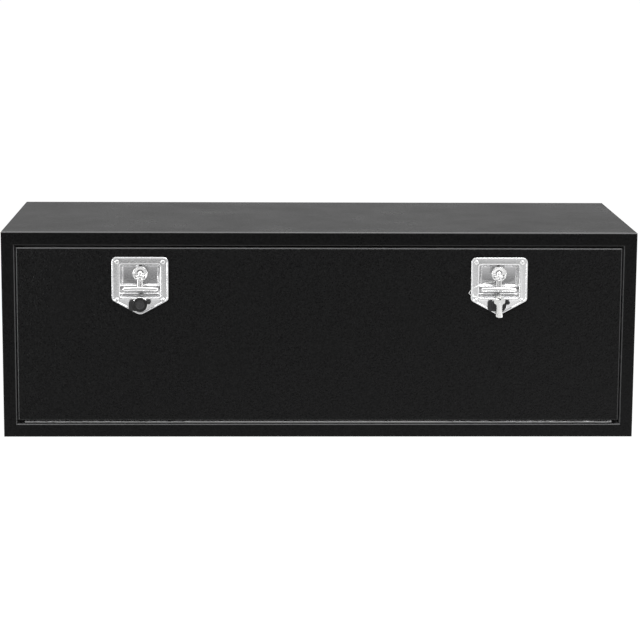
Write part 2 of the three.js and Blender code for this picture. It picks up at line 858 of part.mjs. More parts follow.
function handle(side) {
  const barrel = alongX(
    circleShape(fold_depth, -hub_drop, handle_barrel / 2, round_steps),
    -handle_barrel_length / 2,
    handle_barrel_length / 2,
  );
  const half_stem = stem_thickness / 2;
  const groove = stemStrip(half_stem - groove_depth, half_stem + groove_depth, groove_width / 2);
  const grooved_stem = solid(stemStrip(-half_stem, half_stem, stem_width / 2)).subtract(solid(groove));
  const grip = loft(bar_row_shares.map(barSection));
  const bore = circleShape(fold_depth, -hub_drop, handle_pin_diameter / 2 + handle_pin_gap, small_steps);
  const body = united([barrel, grip])
    .add(grooved_stem)
    .subtract(solid(alongX(bore, -handle_barrel_length, handle_barrel_length)));
  return named(`${side}_t_handle`, geometryOf(body), stainless);
}

function spacerBush(side) {
  const near = dish_back + seat_gap;
  const far = cam_front - seat_gap;
  const shape = circleShape(0, -hub_drop, bush_diameter / 2);
  shape.holes.push(circleHole(0, -hub_drop, (shaft_diameter + shaft_clearance) / 2));
  return named(`${side}_spacer_bush`, throughY(shape, near, far), zinc);
}

function cam(side) {
  const half = cam_width / 2;
  const z = -hub_drop;
  const shape = roundedShape([
    [-half, z + half, half / 2],
    [-half, z - tail_gap, 0],
    [-cam_tail_reach, z - tail_gap, 2 * tail_gap],
    [-cam_tail_reach, z - tail_gap - cam_tail_width, 2 * tail_gap],
    [-half, z - half, 0],
    [cam_reach, z - half, half / 2],
    [cam_reach, z + half, half / 2],
  ].reverse());
  const square = shaft_square / 2 + square_clearance;
  shape.holes.push(new THREE.Path([
    new THREE.Vector2(-square, z - square),
    new THREE.Vector2(square, z - square),
    new THREE.Vector2(square, z + square),
    new THREE.Vector2(-square, z + square),
  ]));
  return named(`${side}_cam`, throughY(shape, cam_front, cam_back), zinc);
}

function camWasher(side) {
  const shape = circleShape(0, -hub_drop, washer_diameter / 2);
  shape.holes.push(circleHole(0, -hub_drop, stud_diameter / 2 + nut_bore_gap, small_steps));
  return named(`${side}_cam_washer`, throughY(shape, washer_front, washer_front + washer_thickness), zinc);
}

function hexShape(z, across) {
  return circleShape(0, z, across / Math.sqrt(3), hex_sides);
}

function camNut(side) {
  const shape = hexShape(-hub_drop, nut_across);
  shape.holes.push(circleHole(0, -hub_drop, stud_diameter / 2 + nut_bore_gap, small_steps));
  return named(`${side}_cam_nut`, throughY(shape, nut_back - nut_height, nut_back), zinc);
}

function lockCylinder(side) {
  const back_face = plug_back - seat_gap;
  const bore_radius = plug_diameter / 2 + plug_clearance;
  let body = united([
    disc(lock_bezel / 2, lock_front, plate_front - contact_gap, 0, -lock_drop),
    disc(lock_body / 2, lock_front, back_face, 0, -lock_drop),
  ]);
  const bore = disc(bore_radius, lock_front - cut_overrun, back_face + cut_overrun, 0, -lock_drop);
  body = body.subtract(solid(bore));
  return named(`${side}_lock_cylinder`, geometryOf(body), nickel);
}

function lockNut(side) {
  const near = sheet + contact_gap;
  const shape = hexShape(-lock_drop, lock_nut_across);
  shape.holes.push(circleHole(0, -lock_drop, lock_body / 2 + nut_bore_gap));
  return named(`${side}_lock_nut`, throughY(shape, near, near + lock_nut_height), zinc);
}

function keyPlug(side) {
  let body = solid(disc(plug_diameter / 2, lock_front, plug_back, 0, -lock_drop));
  const keyway = bar(
    -keyway_width / 2,
    keyway_width / 2,
    lock_front - cut_overrun,
    lock_front + keyway_depth,
    -lock_drop - keyway_height / 2,
    -lock_drop + keyway_height / 2,
  );
  const screw_bore = disc(
    tongue_screw_shank / 2 + nut_bore_gap,
    plug_back - tongue_screw_depth - seat_gap,
    plug_back + cut_overrun,
    0,
    -lock_drop,
    small_steps,
  );
  body = body.subtract(solid(keyway)).subtract(solid(screw_bore));
  return named(`${side}_key_plug`, geometryOf(body), brass);
}

function lockTongue(side) {
  const z = -lock_drop;
  const shape = roundedShape([
    [tongue_hub, z - tongue_hub, tongue_hub / 2],
    [tongue_hub, z + tongue_hub, tongue_hub / 2],
    [-tongue_hub, z + tongue_hub, tongue_hub / 2],
    [-tongue_hub, z - tail_gap, 0],
    [-tongue_length, z - tail_gap, 2 * tail_gap],
    [-tongue_length, z - tail_gap - tongue_width, 2 * tail_gap],
  ]);
  shape.holes.push(circleHole(0, z, tongue_screw_shank / 2 + nut_bore_gap, small_steps));
  return named(`${side}_lock_tongue`, throughY(shape, cam_front, cam_front + tongue_thickness), zinc);
}

function tongueScrew(side) {
  const under = cam_front + tongue_thickness + contact_gap;
  const profile = [
    [0, plug_back - tongue_screw_depth],
    [tongue_screw_shank / 2, plug_back - tongue_screw_depth],
    [tongue_screw_shank / 2, under],
    [tongue_screw_head / 2, under],
    [tongue_screw_head / 2, under + tongue_screw_height],
    [0, under + tongue_screw_height],
  ];
  return named(`${side}_tongue_screw`, turnedY(profile, 0, -lock_drop, small_steps), zinc);
}

function keyFlap(side) {
  const drop = -lock_drop;
  const radius = flap_diameter / 2;
  const tab = throughY(
    roundedShape([
      [0, drop - flap_tab_fall, 0],
      [0, drop + flap_tab_rise, 0],
      [-flap_tab_reach, drop + flap_tab_rise, flap_tab_corner],
      [-flap_tab_reach, drop - flap_tab_fall, flap_tab_corner],
    ].reverse()),
    flap_front,
    flap_back,
  );
  const lug_z = -flapPinDrop();
  const strap = bar(0, flap_pin_x, flap_front, flap_back, lug_z - flap_lug / 2, lug_z + flap_lug / 2);
  const ring = circleShape(0, drop, flap_ring / 2);
  ring.holes.push(circleHole(0, drop, flap_ring / 2 - flap_ring_width));
  let body = united([
    disc(radius, flap_front, flap_back, 0, drop),
    tab,
    strap,
    disc(flap_lug / 2, flap_front, flap_back, flap_pin_x, lug_z, barrel_steps),
    throughY(ring, flap_front - flap_ring_height, flap_back),
  ]);
  const bore_radius = flap_pin_shank / 2 + flap_pin_gap;
  const bore_start = flap_front - cut_overrun;
  const bore = disc(bore_radius, bore_start, flap_back + cut_overrun, flap_pin_x, lug_z, small_steps);
  body = body.subtract(solid(bore));
  return named(`${side}_key_flap`, geometryOf(body), rubber);
}

function flapPin(side) {
  const head = flap_front - seat_gap;
  const tail = sheet + contact_gap;
  const profile = [
    [0, head - flap_pin_head_height],
    [(head_flat_share * flap_pin_head) / 2, head - flap_pin_head_height],
    [flap_pin_head / 2, head - head_edge_share * flap_pin_head_height],
    [flap_pin_head / 2, head],
    [flap_pin_shank / 2, head],
    [flap_pin_shank / 2, tail],
    [flap_pin_head / 2, tail],
    [flap_pin_head / 2, tail + flap_pin_head_height],
    [0, tail + flap_pin_head_height],
  ];
  return named(`${side}_flap_pin`, turnedY(profile, flap_pin_x, -flapPinDrop(), small_steps), rubber);
}

function keyRing(side) {
  const route = ringCurve();
  const frames = route.computeFrenetFrames(ring_steps, true);
  const positions = [];
  const index = [];
  for (let step = 0; step < ring_steps; step += 1) {
    const centre = route.getPointAt(step / ring_steps);
    for (let around = 0; around < ring_sides; around += 1) {
      const angle = (2 * Math.PI * around) / ring_sides;
      const point = centre.clone()
        .addScaledVector(frames.normals[step], (ring_wire / 2) * Math.cos(angle))
        .addScaledVector(frames.binormals[step], (ring_wire / 2) * Math.sin(angle));
      positions.push(point.x, point.y, point.z);
      const next_step = (step + 1) % ring_steps;
      const next_around = (around + 1) % ring_sides;
      const a = step * ring_sides + around;
      const b = step * ring_sides + next_around;
      const c = next_step * ring_sides + next_around;
      const d = next_step * ring_sides + around;
      index.push(a, b, c, a, c, d);
    }
  }
  const geometry = new THREE.BufferGeometry();
  geometry.setAttribute('position', new THREE.Float32BufferAttribute(positions, 3));
  geometry.setIndex(index);
  return named(`${side}_key_ring`, geometry, nickel);
}

function key(name, near, fan_deg, hole) {
  const bow = key_bow_width / 2;
  const blade = key_blade_width / 2;
  const shoulder = key_top - key_bow_height;
  const cut_pitch = (key_length - key_bow_height - key_tip - key_tip_height) / key_cut_shares.length;
  const cuts = key_cut_shares.flatMap((share, row) => {
    const z = shoulder - key_tip - row * cut_pitch;
    return [[blade, z, 0], [blade - share * key_cut_depth, z - cut_pitch / 2, 0]];
  });
  const edge = [
    [key_bow_top_width / 2, key_top, key_tip],
    ...key_bow_flank_shares.map((share) => [bow, key_top - share * key_bow_height, key_tip]),
    [blade, shoulder, 0],
    ...cuts,
    [blade, key_top - key_length + key_tip_height, 0],
    [blade, key_top - key_length, key_tip],
  ];
  const mirrored = edge.map(([x, z, radius]) => [-x, z, radius]);
  const shape = roundedShape([...mirrored, ...edge.reverse()]);
  shape.holes.push(circleHole(0, 0, key_hole / 2, barrel_steps));
  const geometry = throughY(shape, near, near + key_thickness);
  geometry.rotateY(THREE.MathUtils.degToRad(fan_deg)).translate(hole.x, 0, hole.z);
  return named(name, geometry, nickel);
}

function ringPointAtDepth(depth) {
  const at_keys = ringPlaces().filter((point) => point.x > -key_hole && point.z < -bar_drop - bar_height);
  const nearest = (best, point) => (Math.abs(point.y - depth) < Math.abs(best.y - depth) ? point : best);
  return at_keys.reduce(nearest, at_keys[0]);
}

function keys(side) {
  const rear_middle = key_back - key_thickness / 2;
  const front_middle = key_front + key_thickness / 2;
  return [
    key(`${side}_key_a`, key_back - key_thickness, key_fan_deg, ringPointAtDepth(rear_middle)),
    key(`${side}_key_b`, key_front, -key_fan_deg, ringPointAtDepth(front_middle)),
  ];
}

function latch({ side, x }) {
  const group = new THREE.Group();
  group.add(latchPlate(side), plateGasket(side));
  rivetPlaces().forEach(([rx, rz], index) => group.add(plateRivet(side, index + 1, rx, rz)));
  group.add(hub(side), handlePin(side), handle(side));
  group.add(spacerBush(side), cam(side), camWasher(side), camNut(side));
  group.add(lockCylinder(side), lockNut(side), keyPlug(side), lockTongue(side), tongueScrew(side));
  group.add(keyFlap(side), flapPin(side));
  if (side === 'right') group.add(keyRing(side), ...keys(side));
  group.position.set(x, door_front, plateTop());
  return group;
}

const tool_box = new THREE.Group();
tool_box.add(bodyWrap(), endPanel('left_end_panel', -1), endPanel('right_end_panel', 1));
tool_box.add(frontFrame(), doorSeal());
tool_box.add(doorSkin(), doorStiffener());
tool_box.add(hingeLeaf('hinge_leaf_frame', 0, -1), hingeLeaf('hinge_leaf_door', 1, 1), hingePin());
latchPlaces().forEach((place) => tool_box.add(latch(place)));

export default tool_box;
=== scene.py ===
"""Looks of the underbody truck tool box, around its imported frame.

Metres, +Z up, the door faces -Y. A latch is drawn in millimetres from the middle of its plate's top edge:
x to the right, y back from the door's front face, z up.
"""
import json
from math import cos, hypot, pi, radians, sin, sqrt, tan

import bmesh
import bpy
from mathutils import Matrix, Vector


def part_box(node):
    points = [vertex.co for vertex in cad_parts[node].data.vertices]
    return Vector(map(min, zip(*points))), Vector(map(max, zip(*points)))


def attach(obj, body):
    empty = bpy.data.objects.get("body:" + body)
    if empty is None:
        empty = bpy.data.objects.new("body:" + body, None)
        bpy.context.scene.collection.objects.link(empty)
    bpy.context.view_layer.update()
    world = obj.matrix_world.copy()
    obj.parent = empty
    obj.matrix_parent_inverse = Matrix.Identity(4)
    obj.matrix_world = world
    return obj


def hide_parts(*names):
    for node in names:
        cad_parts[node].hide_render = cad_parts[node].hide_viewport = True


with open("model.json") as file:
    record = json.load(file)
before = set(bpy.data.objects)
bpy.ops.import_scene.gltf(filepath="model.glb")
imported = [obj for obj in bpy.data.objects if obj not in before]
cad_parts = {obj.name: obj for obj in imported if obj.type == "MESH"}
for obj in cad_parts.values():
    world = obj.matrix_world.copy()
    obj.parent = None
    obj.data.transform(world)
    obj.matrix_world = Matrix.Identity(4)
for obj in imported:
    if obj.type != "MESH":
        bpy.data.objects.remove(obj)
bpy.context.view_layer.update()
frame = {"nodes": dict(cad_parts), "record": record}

scene = bpy.context.scene

MM = 0.001
SIDES = ("left", "right")
SMOOTH_DEG = 35
STRAIGHT_DEG = 89.9
LEAST_RADIUS = 0.05
POLE_SHARE = 0.02
WELD_MM = 1e-5
WELD_METRES = 1e-6

# Camera, worked out from the photograph: lens in pixels, place in metres, yaw, pitch and roll in degrees
PHOTO_PX = 640
FOCAL_PX = 2142.85
CENTRE_DOWN_PX = 268.487
SENSOR_MM = 36
CAMERA_PLACE = (-0.09905, -4.2719, 0.98624)
CAMERA_ANGLES = (-1.39979, 9.18034, -0.31333)

# Floor, metres: half width, tone and strength for the camera. A band gives two strengths for mirrors and
# where they lie, along the slant or along X. The rear band, along Y, is how far the rear's takes over
FLOOR_HALF = 60
FLOOR_TONE = 0.2
FLOOR_GLOW = 0.95
FLOOR_SLANT = (0.8, 0.8)
FLOOR_SLANT_BAND = (0.1, 1.15, -2.8, 0.2)
FLOOR_LEFT_BAND = (2.5, 0, -2.6, -1.3)
FLOOR_REAR_BAND = (0, 1, 0.3, 1.2)
FLOOR_REAR_GLOW = 0.45

# World: strength as a light, and for mirrors, by directions from -1 to 1: the front's along X, and how far
# those round the front and in the rear take over along Y
WORLD_FILL = 0.3
WORLD_FRONT_BAND = (0.15, 0.7, -0.3, 0.3)
WORLD_ROUND_BAND = (0, 1, -0.97, -0.55)
WORLD_ROUND_GLOW = 1
WORLD_REAR_BAND = (0, 1, 0.5, 0.9)
WORLD_REAR_GLOW = 0.55

# Lamps: place and aim in metres, width and height in metres, radiance
LAMPS = {
    "overhead_right": ((1.2, -1.2, 2.3), (0.6, -0.2, 0.3), 1.6, 0.9, 9),
    "overhead_left": ((-0.75, -1.2, 2.3), (-0.4, -0.2, 0.3), 2.2, 0.9, 3),
    "left_standing": ((-1.75, -1.0, 0.55), (-0.6, -0.22, 0.3), 0.5, 1.0, 6),
}

# Coat: darkest and lightest tone, strength of the pimples, specular level, lowest and highest roughness
PLAIN_COAT = ((0.0003, 0.0003, 0.0004), (0.0078, 0.0078, 0.008), 0.35, 0.115, 0.26, 0.32)
DOOR_COAT = ((0.0002, 0.0002, 0.0003), (0.012, 0.012, 0.0122), 0.8, 0.12, 0.22, 0.3)

# Looks: a noise's features a metre, detail and roughness, and a bump's depth in metres and strength
COAT_FINE = (900, 3.0, 0.6)
COAT_FINE_BUMP = (0.0002, 0.6)
COAT_SPECKLE = (380, 2.0, 0.5)
COAT_PIMPLES = (260, 2.0, 0.5)
COAT_PIMPLE_DEPTH = 0.001
COAT_PATCHES = (9, 4.0, 0.55)
METAL_TONES = (45, 3.0, 0.6)
METAL_GRAIN = 900
METAL_BUMP = (0.00001, 0.6)
RUBBER_TONES = (260, 3.0, 0.6)
RUBBER_BUMP = (0.00012, 0.7)
RUBBER_ROUGHNESS = (0.22, 0.5)
RUBBER_SPECULAR = 0.4
GRAIN_DETAIL = (4.0, 0.65)

# Painted highlight along the coat's edges: its colour, strength of the pimples, width of the front flange in
# metres, and each edge's band, the share of its colour at the inner and the outer end and where these lie, in
# metres outwards
EDGE_HIGHLIGHT_COLOUR = (0.16, 0.16, 0.162)
EDGE_PIMPLES = 0.1
FLANGE = 0.0254
DOOR_EDGE = (0, 1, -0.0022, -0.0012)
OPENING_EDGE = (1, 0, 0.0006, 0.0018)
TOP_EDGE = (0, 1, -0.0009, -0.0003)

# CAD sheets whose edges are bevelled, by how much in mm, and nodes that have a coat of their own, with
# painted edge highlights
BEVELLED = ("body_wrap", "left_end_panel", "right_end_panel", "front_frame", "door_stiffener")
SHEET_BEVEL = 0.4
OWN_COATS = {"door_skin": "door_coat", "front_frame": "frame_coat"}

# Continuous hinge, mm from its pin's axis
KNUCKLES = 103
KNUCKLE_GAP = 0.5
BARREL_OUTER = 3.5
BARREL_SEEN = 2.5
LEAF_SHEET = 1.1
NOTCH_BACK = 4.3
ROLL_TURN = 285
ROLL_STEPS = 16
PIN_RADIUS = 1.3
PIN_POINT = 0.5
PIN_POINT_SHARE = 0.6

# Latch plate, mm
PLATE_SHEET = 1.5
PLATE_FRONT = -2.7
PLATE_REAR = -1.2
PLATE_CORNER = 10
PLATE_SHOULDER = 8
PLATE_TIP = 14
PLATE_SLOPE = radians(28.4)
RIM_TURN = -2.2
BEAD_WIDTH = 3.2
BEAD_HEIGHT = 1.5
BEAD_STEPS = 12
BEAD_FOOT = ((0.3, 0.02), (0.8, 0), (1.4, 0))
DISH_TOP = 13
DISH_WIDTH = 80.8
DISH_HEIGHT = 67.5
DISH_CORNER = 5.5
DISH_CORNER_LOSS = 0.4
DISH_CORNER_LEAST = 0.8
DISH_FOOT_SHARE = 0.35
DISH_TAPER = 5.6
DISH_FLOOR = 15.3
DISH_CROWN = 0.9
LIP_ROUND = 2.6
LIP_RAISE = 0.3
LIP_INSET = 0.6
LIP_TURN = 348
LIP_RISE = ((-3.4, 0), (-2.6, 0.06), (-1.8, 0.3), (-1.2, 0.25))
WALL_STEPS = 8
DISH_ROUND = 4
DISH_STEPS = 18
DISH_MIDDLE = 1.5
STEP_DROP = 53.2
STEP_SLOPE = 5.5
STEP_RISE = 4.6
STEP_BLEND = 1.6
SHELF_DROP = 71
SHELF_SLOPE = 2.5
SHELF_RISE = 2
FIELD_CUT = (-10, 5)
DISH_CUT = (10, 22)
# Painted light on the plate: depths where the field gives way to the dish, and slopes that part the walls'
# painted highlight from the floor's painted shade
PAINTED_LIGHT_DEPTHS = (-1, 4)
PAINTED_LIGHT_SLOPES = (0.5, 0.9)
# Steps of each corner and edge of the plate's outline and the dish's, from the upper left one down
CORNER_STEPS = (8, 8, 16, 8, 8)
EDGE_STEPS = (34, 22, 22, 34, 40)

# Hub and folding handle, mm
HUB_DROP = 33.25
HUB_RADIUS = 14.5
HUB_RIM = 1.5
HUB_FRONT = 1
HUB_CUP = 4.6
HUB_CUP_FOOT = ((1, 0), (0.3, 0.3), (0, 1))
HUB_BACK = 15
HUB_BEVEL = 0.4
HUB_SLOT_HALF = 6
HUB_SLOT_DEPTH = 9
HUB_SLOT_DROPS = (24, 7)
HUB_CUT_FRONT = -8
POCKET_DEPTH = 12.4
POCKET_TOP = 7.1
POCKET_FOOT = 8
SHAFT_RADIUS = 6.5
SHAFT_HOLE = 6.7
SHAFT_END = 26.4
SQUARE_HALF = 4.5
SQUARE_ROOT = 0.5
SQUARE_END = 30.2
STUD_RADIUS = 3.8
STUD_END = 38.4
FOLD_DEPTH = 5.6
BALL = (5.6, 6.3, 6.3)
COLLAR = (8.3, 2.6, 3.4)
COLLAR_DROP = 5.2
COLLAR_DEPTH = 1.7
SCALLOP = (4.2, 2.2, 1.5)
SCALLOP_DROP = 10.4
SCALLOP_DEPTH = 1.4
STEM_WIDTH = 10.4
STEM_THICKNESS = 4.6
STEM_ROWS = 12
STEM_CHAMFER = 0.7
STEM_FLARE = 60
STEM_FLARE_START = 0.8
GROOVE_WIDTH = 3.8
GROOVE_DEPTH = 2.4
GROOVE_AHEAD = 3
GROOVE_ROWS = (0.43, 0.47, 0.84, 0.88)
BAR_DEPTH = 1.2
BAR_HEIGHT = 8.5
BAR_THICKNESS = 7.4
BAR_LENGTH = 68.8
BAR_DROP = 63.25
BAR_BOW = 1.2
BAR_ROWS = 40
BAR_END_START = 0.86
BAR_END_SHARE = 0.3
HANDLE_VOXEL = 0.28

# Lock, flap and rivets, mm. A turned piece's rows give radii and depths
FITTING_SUNK = 0.1
LOCK_DROP = 92.2
BEZEL_RADIUS = 14.9
BEZEL_HEIGHT = 3.4
BEZEL_ROUND = 1.6
BEZEL_MOUTH_ROUND = 0.5
BEZEL_MOUTH_DEPTH = 0.9
BEZEL_MOUTH = ((2.2, 0.4), (2.6, 0.2), (3.2, 0))
LOCK_TO_EDGE = 18.5
LOCK_BODY = 8
LOCK_HOLE = 8.3
LOCK_END = 25.9
PLUG_RADIUS = 6
PLUG_BORE = 6.3
PLUG_FRONT_BEVEL = (0.6, 0.5)
PLUG_REAR_BEVEL = 0.4
PLUG_EDGE = 0.2
KEYWAY = (1.1, 4, 14)
KEYWAY_RIB = (0.3, 0.6)
PLUG_CUT = 5
SCREW_BORE = (2.2, 6.3)
FLAP_RADIUS = 13.9
FLAP_THICKNESS = 3
FLAP_REAR_BEVEL = 0.6
FLAP_FRONT_BEVEL = 0.8
FLAP_FACE = ((-2.4, 0.5), (-9.5, 0.2))
FLAP_RING = 9.5
FLAP_BEAD = ((-1.8, -1.6, -0.4, 0), 0.45)
FLAP_BEAD_ROOT = 1
FLAP_CUT = (-20, 5)
FLAP_VOXEL = 0.3
FLAP_PIN_X = 17
FLAP_PIN_DROP = 87.2
FLAP_PIN_HOLE = 1.95
FLAP_LUG = 3.7
FLAP_FRONT = -9.5
FLAP_TAB_REACH = 21.6
FLAP_TAB_RISE = 7.9
FLAP_TAB_FALL = 11.6
FLAP_TAB_CORNER = 5.5
FLAP_TAB_ROOT = 0.5
FLAP_TAB_INSET = 0.7
FLAP_LUG_INSET = 0.6
# Highlight painted on the flap: its fade inside the ring, its gap past the disc's rim, and its fade onto the
# tab
FLAP_HIGHLIGHT_FADE = (2.5, 1, 1.5)
FLAP_PIN_LIFT = 0.3
FLAP_PIN_HEAD = ((0, -1.2), (1.3, -1.15), (2.2, -0.85), (2.75, -0.4), (2.9, 0), (1.7, 0))
FLAP_PIN_TAIL = ((1.7, 2.1), (2.9, 2.2), (2.7, 2.9), (1.4, 3.3), (0, 3.3))
RIVET_X = 44
RIVET_DROPS = (9.8, 83.3)
RIVET_HOLE = 2.6
RIVET_RADIUS = 4.2
RIVET_HEAD = 1.8
RIVET_DIMPLE = 1.6
RIVET_DIMPLE_DEPTH = 2.4
RIVET_DIMPLE_SHARE = 0.7
RIVET_SHOULDER = 0.3
RIVET_CREST = 0.05
RIVET_STEPS = 7
RIVET_EDGE = 0.25
RIVET_UNDERCUT = 0.1
RIVET_SHANK = 2.4
RIVET_TAIL = ((RIVET_SHANK, 2.1), (3.5, 2.2), (3.3, 3.2), (1.2, 3.7), (0, 3.7))

# Key ring and keys, mm. The route's rows give shares: of the reach to the right, of the way from the front to
# the rear depth, and of the way from the upper to the lower drop, below 0 where the wire is higher
RING_WIRE = 0.7
RING_REACH = 50
RING_DEPTHS = (-17.2, 7.2)
RING_DROPS = (53, 79.2)
RING_STEPS_EACH = 18
RING_ROUTE = (
    (-1.17, 0.23, 0.54), (-0.92, 0.24, 0.12), (-0.6, 0.4, -0.11), (-0.26, 0.89, -0.16),
    (0, 1, -0.12), (0.16, 1, 0.2), (0.17, 0.98, 0.44), (0.1, 0.76, 0.66),
    (0.052, 0.49, 0.825), (0.02, 0.385, 0.925), (0.004, 0.21, 0.963), (-0.024, 0.04, 0.987),
    (-0.14, 0, 1), (-0.4, 0.14, 0.98), (-0.79, 0.2, 0.88), (-1.08, 0.22, 0.74),
)
KEY_FAN_DEG = 2.5
KEY_HOLE = 3
KEY_BOW = 10.5
KEY_BOW_TOP = 5
KEY_BOW_HEIGHT = 17.2
KEY_FLANK_SHARES = (0.4, 0.78)
KEY_TOP = 5.2
KEY_BLADE = 5.2
KEY_LENGTH = 42
KEY_CUT_DEPTH = 1.8
KEY_CUT_SHARES = (0.5, 0.8, 0.65, 1)
KEY_CUT_ROUND = 0.35
KEY_SHOULDER_ROUND = 1.2
KEY_TIP_ROUND = 0.6
KEY_TIP = 2.5
KEY_TIP_HEIGHT = 6.3
KEY_CUT_PAST = 1
KEY_GROOVE = (0.7, 0.45)
KEY_GROOVE_ENDS = (3, 1)
KEY_EDGE = 0.28
KEY_BEVEL_DEG = 40
KEY_SMOOTH_DEG = 20


def plate_top(side):
    """The latch's origin in metres: the middle of its plate's top edge, on the door's front face."""
    low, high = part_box(f"{side}_latch_plate")
    return Vector(((low.x + high.x) / 2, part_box("door_skin")[0].y, high.z))


def rectangle(name, grow=0):
    """A node's half width and height, grown by a margin, and its middle, in X and Z."""
    node = frame["nodes"][name]
    xs = [v.co.x for v in node.data.vertices]
    zs = [v.co.z for v in node.data.vertices]
    half = ((max(xs) - min(xs)) / 2 + grow, (max(zs) - min(zs)) / 2 + grow)
    return half, ((max(xs) + min(xs)) / 2, (max(zs) + min(zs)) / 2)


def top_edge(name, beyond=1):
    """A rectangle whose upper edge is the node's and whose others lie beyond it."""
    half, centre = rectangle(name, beyond)
    return half, (centre[0], centre[1] - beyond)


def joint_place(name):
    """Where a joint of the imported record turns, in metres."""
    joints = frame["record"]["behaviour"]["joints"]
    return Vector(next(joint["pos_m"] for joint in joints if joint["name"] == name))


# Numbers and outlines
def between(start, end, share):
    return start + (end - start) * share


def share_between(value, low, high):
    return min(max((value - low) / (high - low), 0), 1)


def eased(share):
    share = min(max(share, 0), 1)
    return share * share * (3 - 2 * share)


def smooth_least(a, b, blend):
    """The lesser of two numbers, rounded off where they meet."""
    near = max(blend - abs(a - b), 0) / blend
    return min(a, b) - near * near * blend / 4


def oblong(left, right, foot, top):
    return [(left, foot), (right, foot), (right, top), (left, top)]


# Mesh helpers
def new_object(name, data):
    piece = bpy.data.objects.new(name, data)
    scene.collection.objects.link(piece)
    return piece


def mesh_object(name, vertices, faces):
    mesh = bpy.data.meshes.new(name)
    mesh.from_pydata([tuple(v) for v in vertices], [], faces)
    return new_object(name, mesh)


def solid_from(name, vertices, faces):
    """A mesh with its points welded and its faces turned outwards."""
    piece = mesh_object(name, vertices, faces)
    build = bmesh.new()
    build.from_mesh(piece.data)
    bmesh.ops.remove_doubles(build, verts=build.verts, dist=WELD_MM)
    bmesh.ops.recalc_face_normals(build, faces=build.faces)
    build.to_mesh(piece.data)
    build.free()
    return piece


def shaped_mesh(piece):
    """A new mesh of what a piece's modifiers or curve settings make of it."""
    bpy.context.view_layer.update()
    return bpy.data.meshes.new_from_object(piece.evaluated_get(bpy.context.evaluated_depsgraph_get()))


def modify(piece, name, kind, **settings):
    modifier = piece.modifiers.new(name, kind)
    for key, value in settings.items():
        setattr(modifier, key, value)


def bake_modifiers(piece):
    """The piece's mesh becomes what its modifiers make of it."""
    shaped = shaped_mesh(piece)
    piece.modifiers.clear()
    old = piece.data
    piece.data = shaped
    bpy.data.meshes.remove(old)


def join_solids(piece, others, operation="UNION"):
    """Adds other solids to the piece, or cuts them from it, and deletes them."""
    for other in others:
        modify(piece, operation.lower(), "BOOLEAN", operation=operation, solver="EXACT", object=other)
    bake_modifiers(piece)
    for other in others:
        bpy.data.objects.remove(other)


def soften(piece, voxel, rounds):
    """Melts the joins of a solid: an even mesh over it, then smoothed."""
    modify(piece, "remesh", "REMESH", mode="VOXEL", voxel_size=voxel)
    modify(piece, "smooth", "CORRECTIVE_SMOOTH",
           iterations=rounds, smooth_type="SIMPLE", use_only_smooth=True)
    bake_modifiers(piece)


def add_bevel(piece, width, degrees=50):
    angle = radians(degrees)
    modify(piece, "edges", "BEVEL", width=width, segments=2, limit_method="ANGLE", angle_limit=angle)


def round_edges(piece, width, degrees=50):
    add_bevel(piece, width, degrees)
    bake_modifiers(piece)


def write_painted_light(piece, share_at):
    """Gives each point of a mesh the share that a function finds for it."""
    painted_light = piece.data.attributes.new("painted_light", "FLOAT", "POINT")
    for vertex, value in zip(piece.data.vertices, painted_light.data):
        value.value = share_at(vertex)


def arc(across, along, radius, first_deg, last_deg, steps):
    """Points of an arc, both ends included."""
    points = []
    for step in range(steps + 1):
        angle = radians(first_deg + (last_deg - first_deg) * step / steps)
        points.append((across + radius * cos(angle), along + radius * sin(angle)))
    return points


def circle(radius, x=0, z=0, sides=48):
    return arc(x, z, radius, 0, 360, sides)[:-1]


def rounded_corner(before, corner, after, radius, steps):
    """A corner's arc as points, or as many of them in a row where the outline goes straight on."""
    here = Vector(corner)
    back = (Vector(before) - here).normalized()
    ahead = (Vector(after) - here).normalized()
    half_angle = back.angle(ahead) / 2
    if half_angle > radians(STRAIGHT_DEG):
        return [here + back * radius + (ahead - back) * radius * step / steps for step in range(steps + 1)]
    reach = radius / tan(half_angle)
    middle = here + (back + ahead).normalized() * (radius / sin(half_angle))
    start = here + back * reach - middle
    turn = pi - 2 * half_angle
    side = 1 if back.cross(ahead) < 0 else -1
    return [middle + Matrix.Rotation(side * turn * step / steps, 2) @ start for step in range(steps + 1)]


def both_sides(left, middle):
    """Corners down the left side, one in the middle, and the left ones mirrored up the right."""
    return [*left, middle, *[(-x, z, radius) for x, z, radius in reversed(left)]]


def rounded_loop(corners, steps, edge_steps):
    """A closed outline through corners of (x, z, radius), with the steps of each corner and each edge."""
    count = len(corners)
    arcs = []
    for index, (x, z, radius) in enumerate(corners):
        before = corners[index - 1][:2]
        after = corners[(index + 1) % count][:2]
        arcs.append(rounded_corner(before, (x, z), after, max(radius, LEAST_RADIUS), steps[index]))
    points = []
    for index, corner in enumerate(arcs):
        points += corner
        start = corner[-1]
        end = arcs[(index + 1) % count][0]
        splits = edge_steps[index]
        points += [start.lerp(end, step / splits) for step in range(1, splits)]
    return points


def walls(rows, count):
    """Quads between matching closed rows of vertices."""
    faces = []
    for here in range(0, (rows - 1) * count, count):
        above = here + count
        for i in range(count):
            after = (i + 1) % count
            faces.append((here + i, here + after, above + after, above + i))
    return faces


def turned(name, profile, sides=64, x=0, z=0):
    """A closed solid turned on an axis along Y, from a profile of radius and depth."""
    vertices = [(x + a, depth, z + b) for radius, depth in profile for a, b in circle(radius, sides=sides)]
    return solid_from(name, vertices, walls(len(profile), sides))


def lofted(name, sections):
    """Matching closed sections joined in a row and closed at both ends."""
    count = len(sections[0])
    vertices = [point for section in sections for point in section]
    faces = [tuple(range(count)), tuple(range(len(vertices) - count, len(vertices)))]
    return solid_from(name, vertices, faces + walls(len(sections), count))


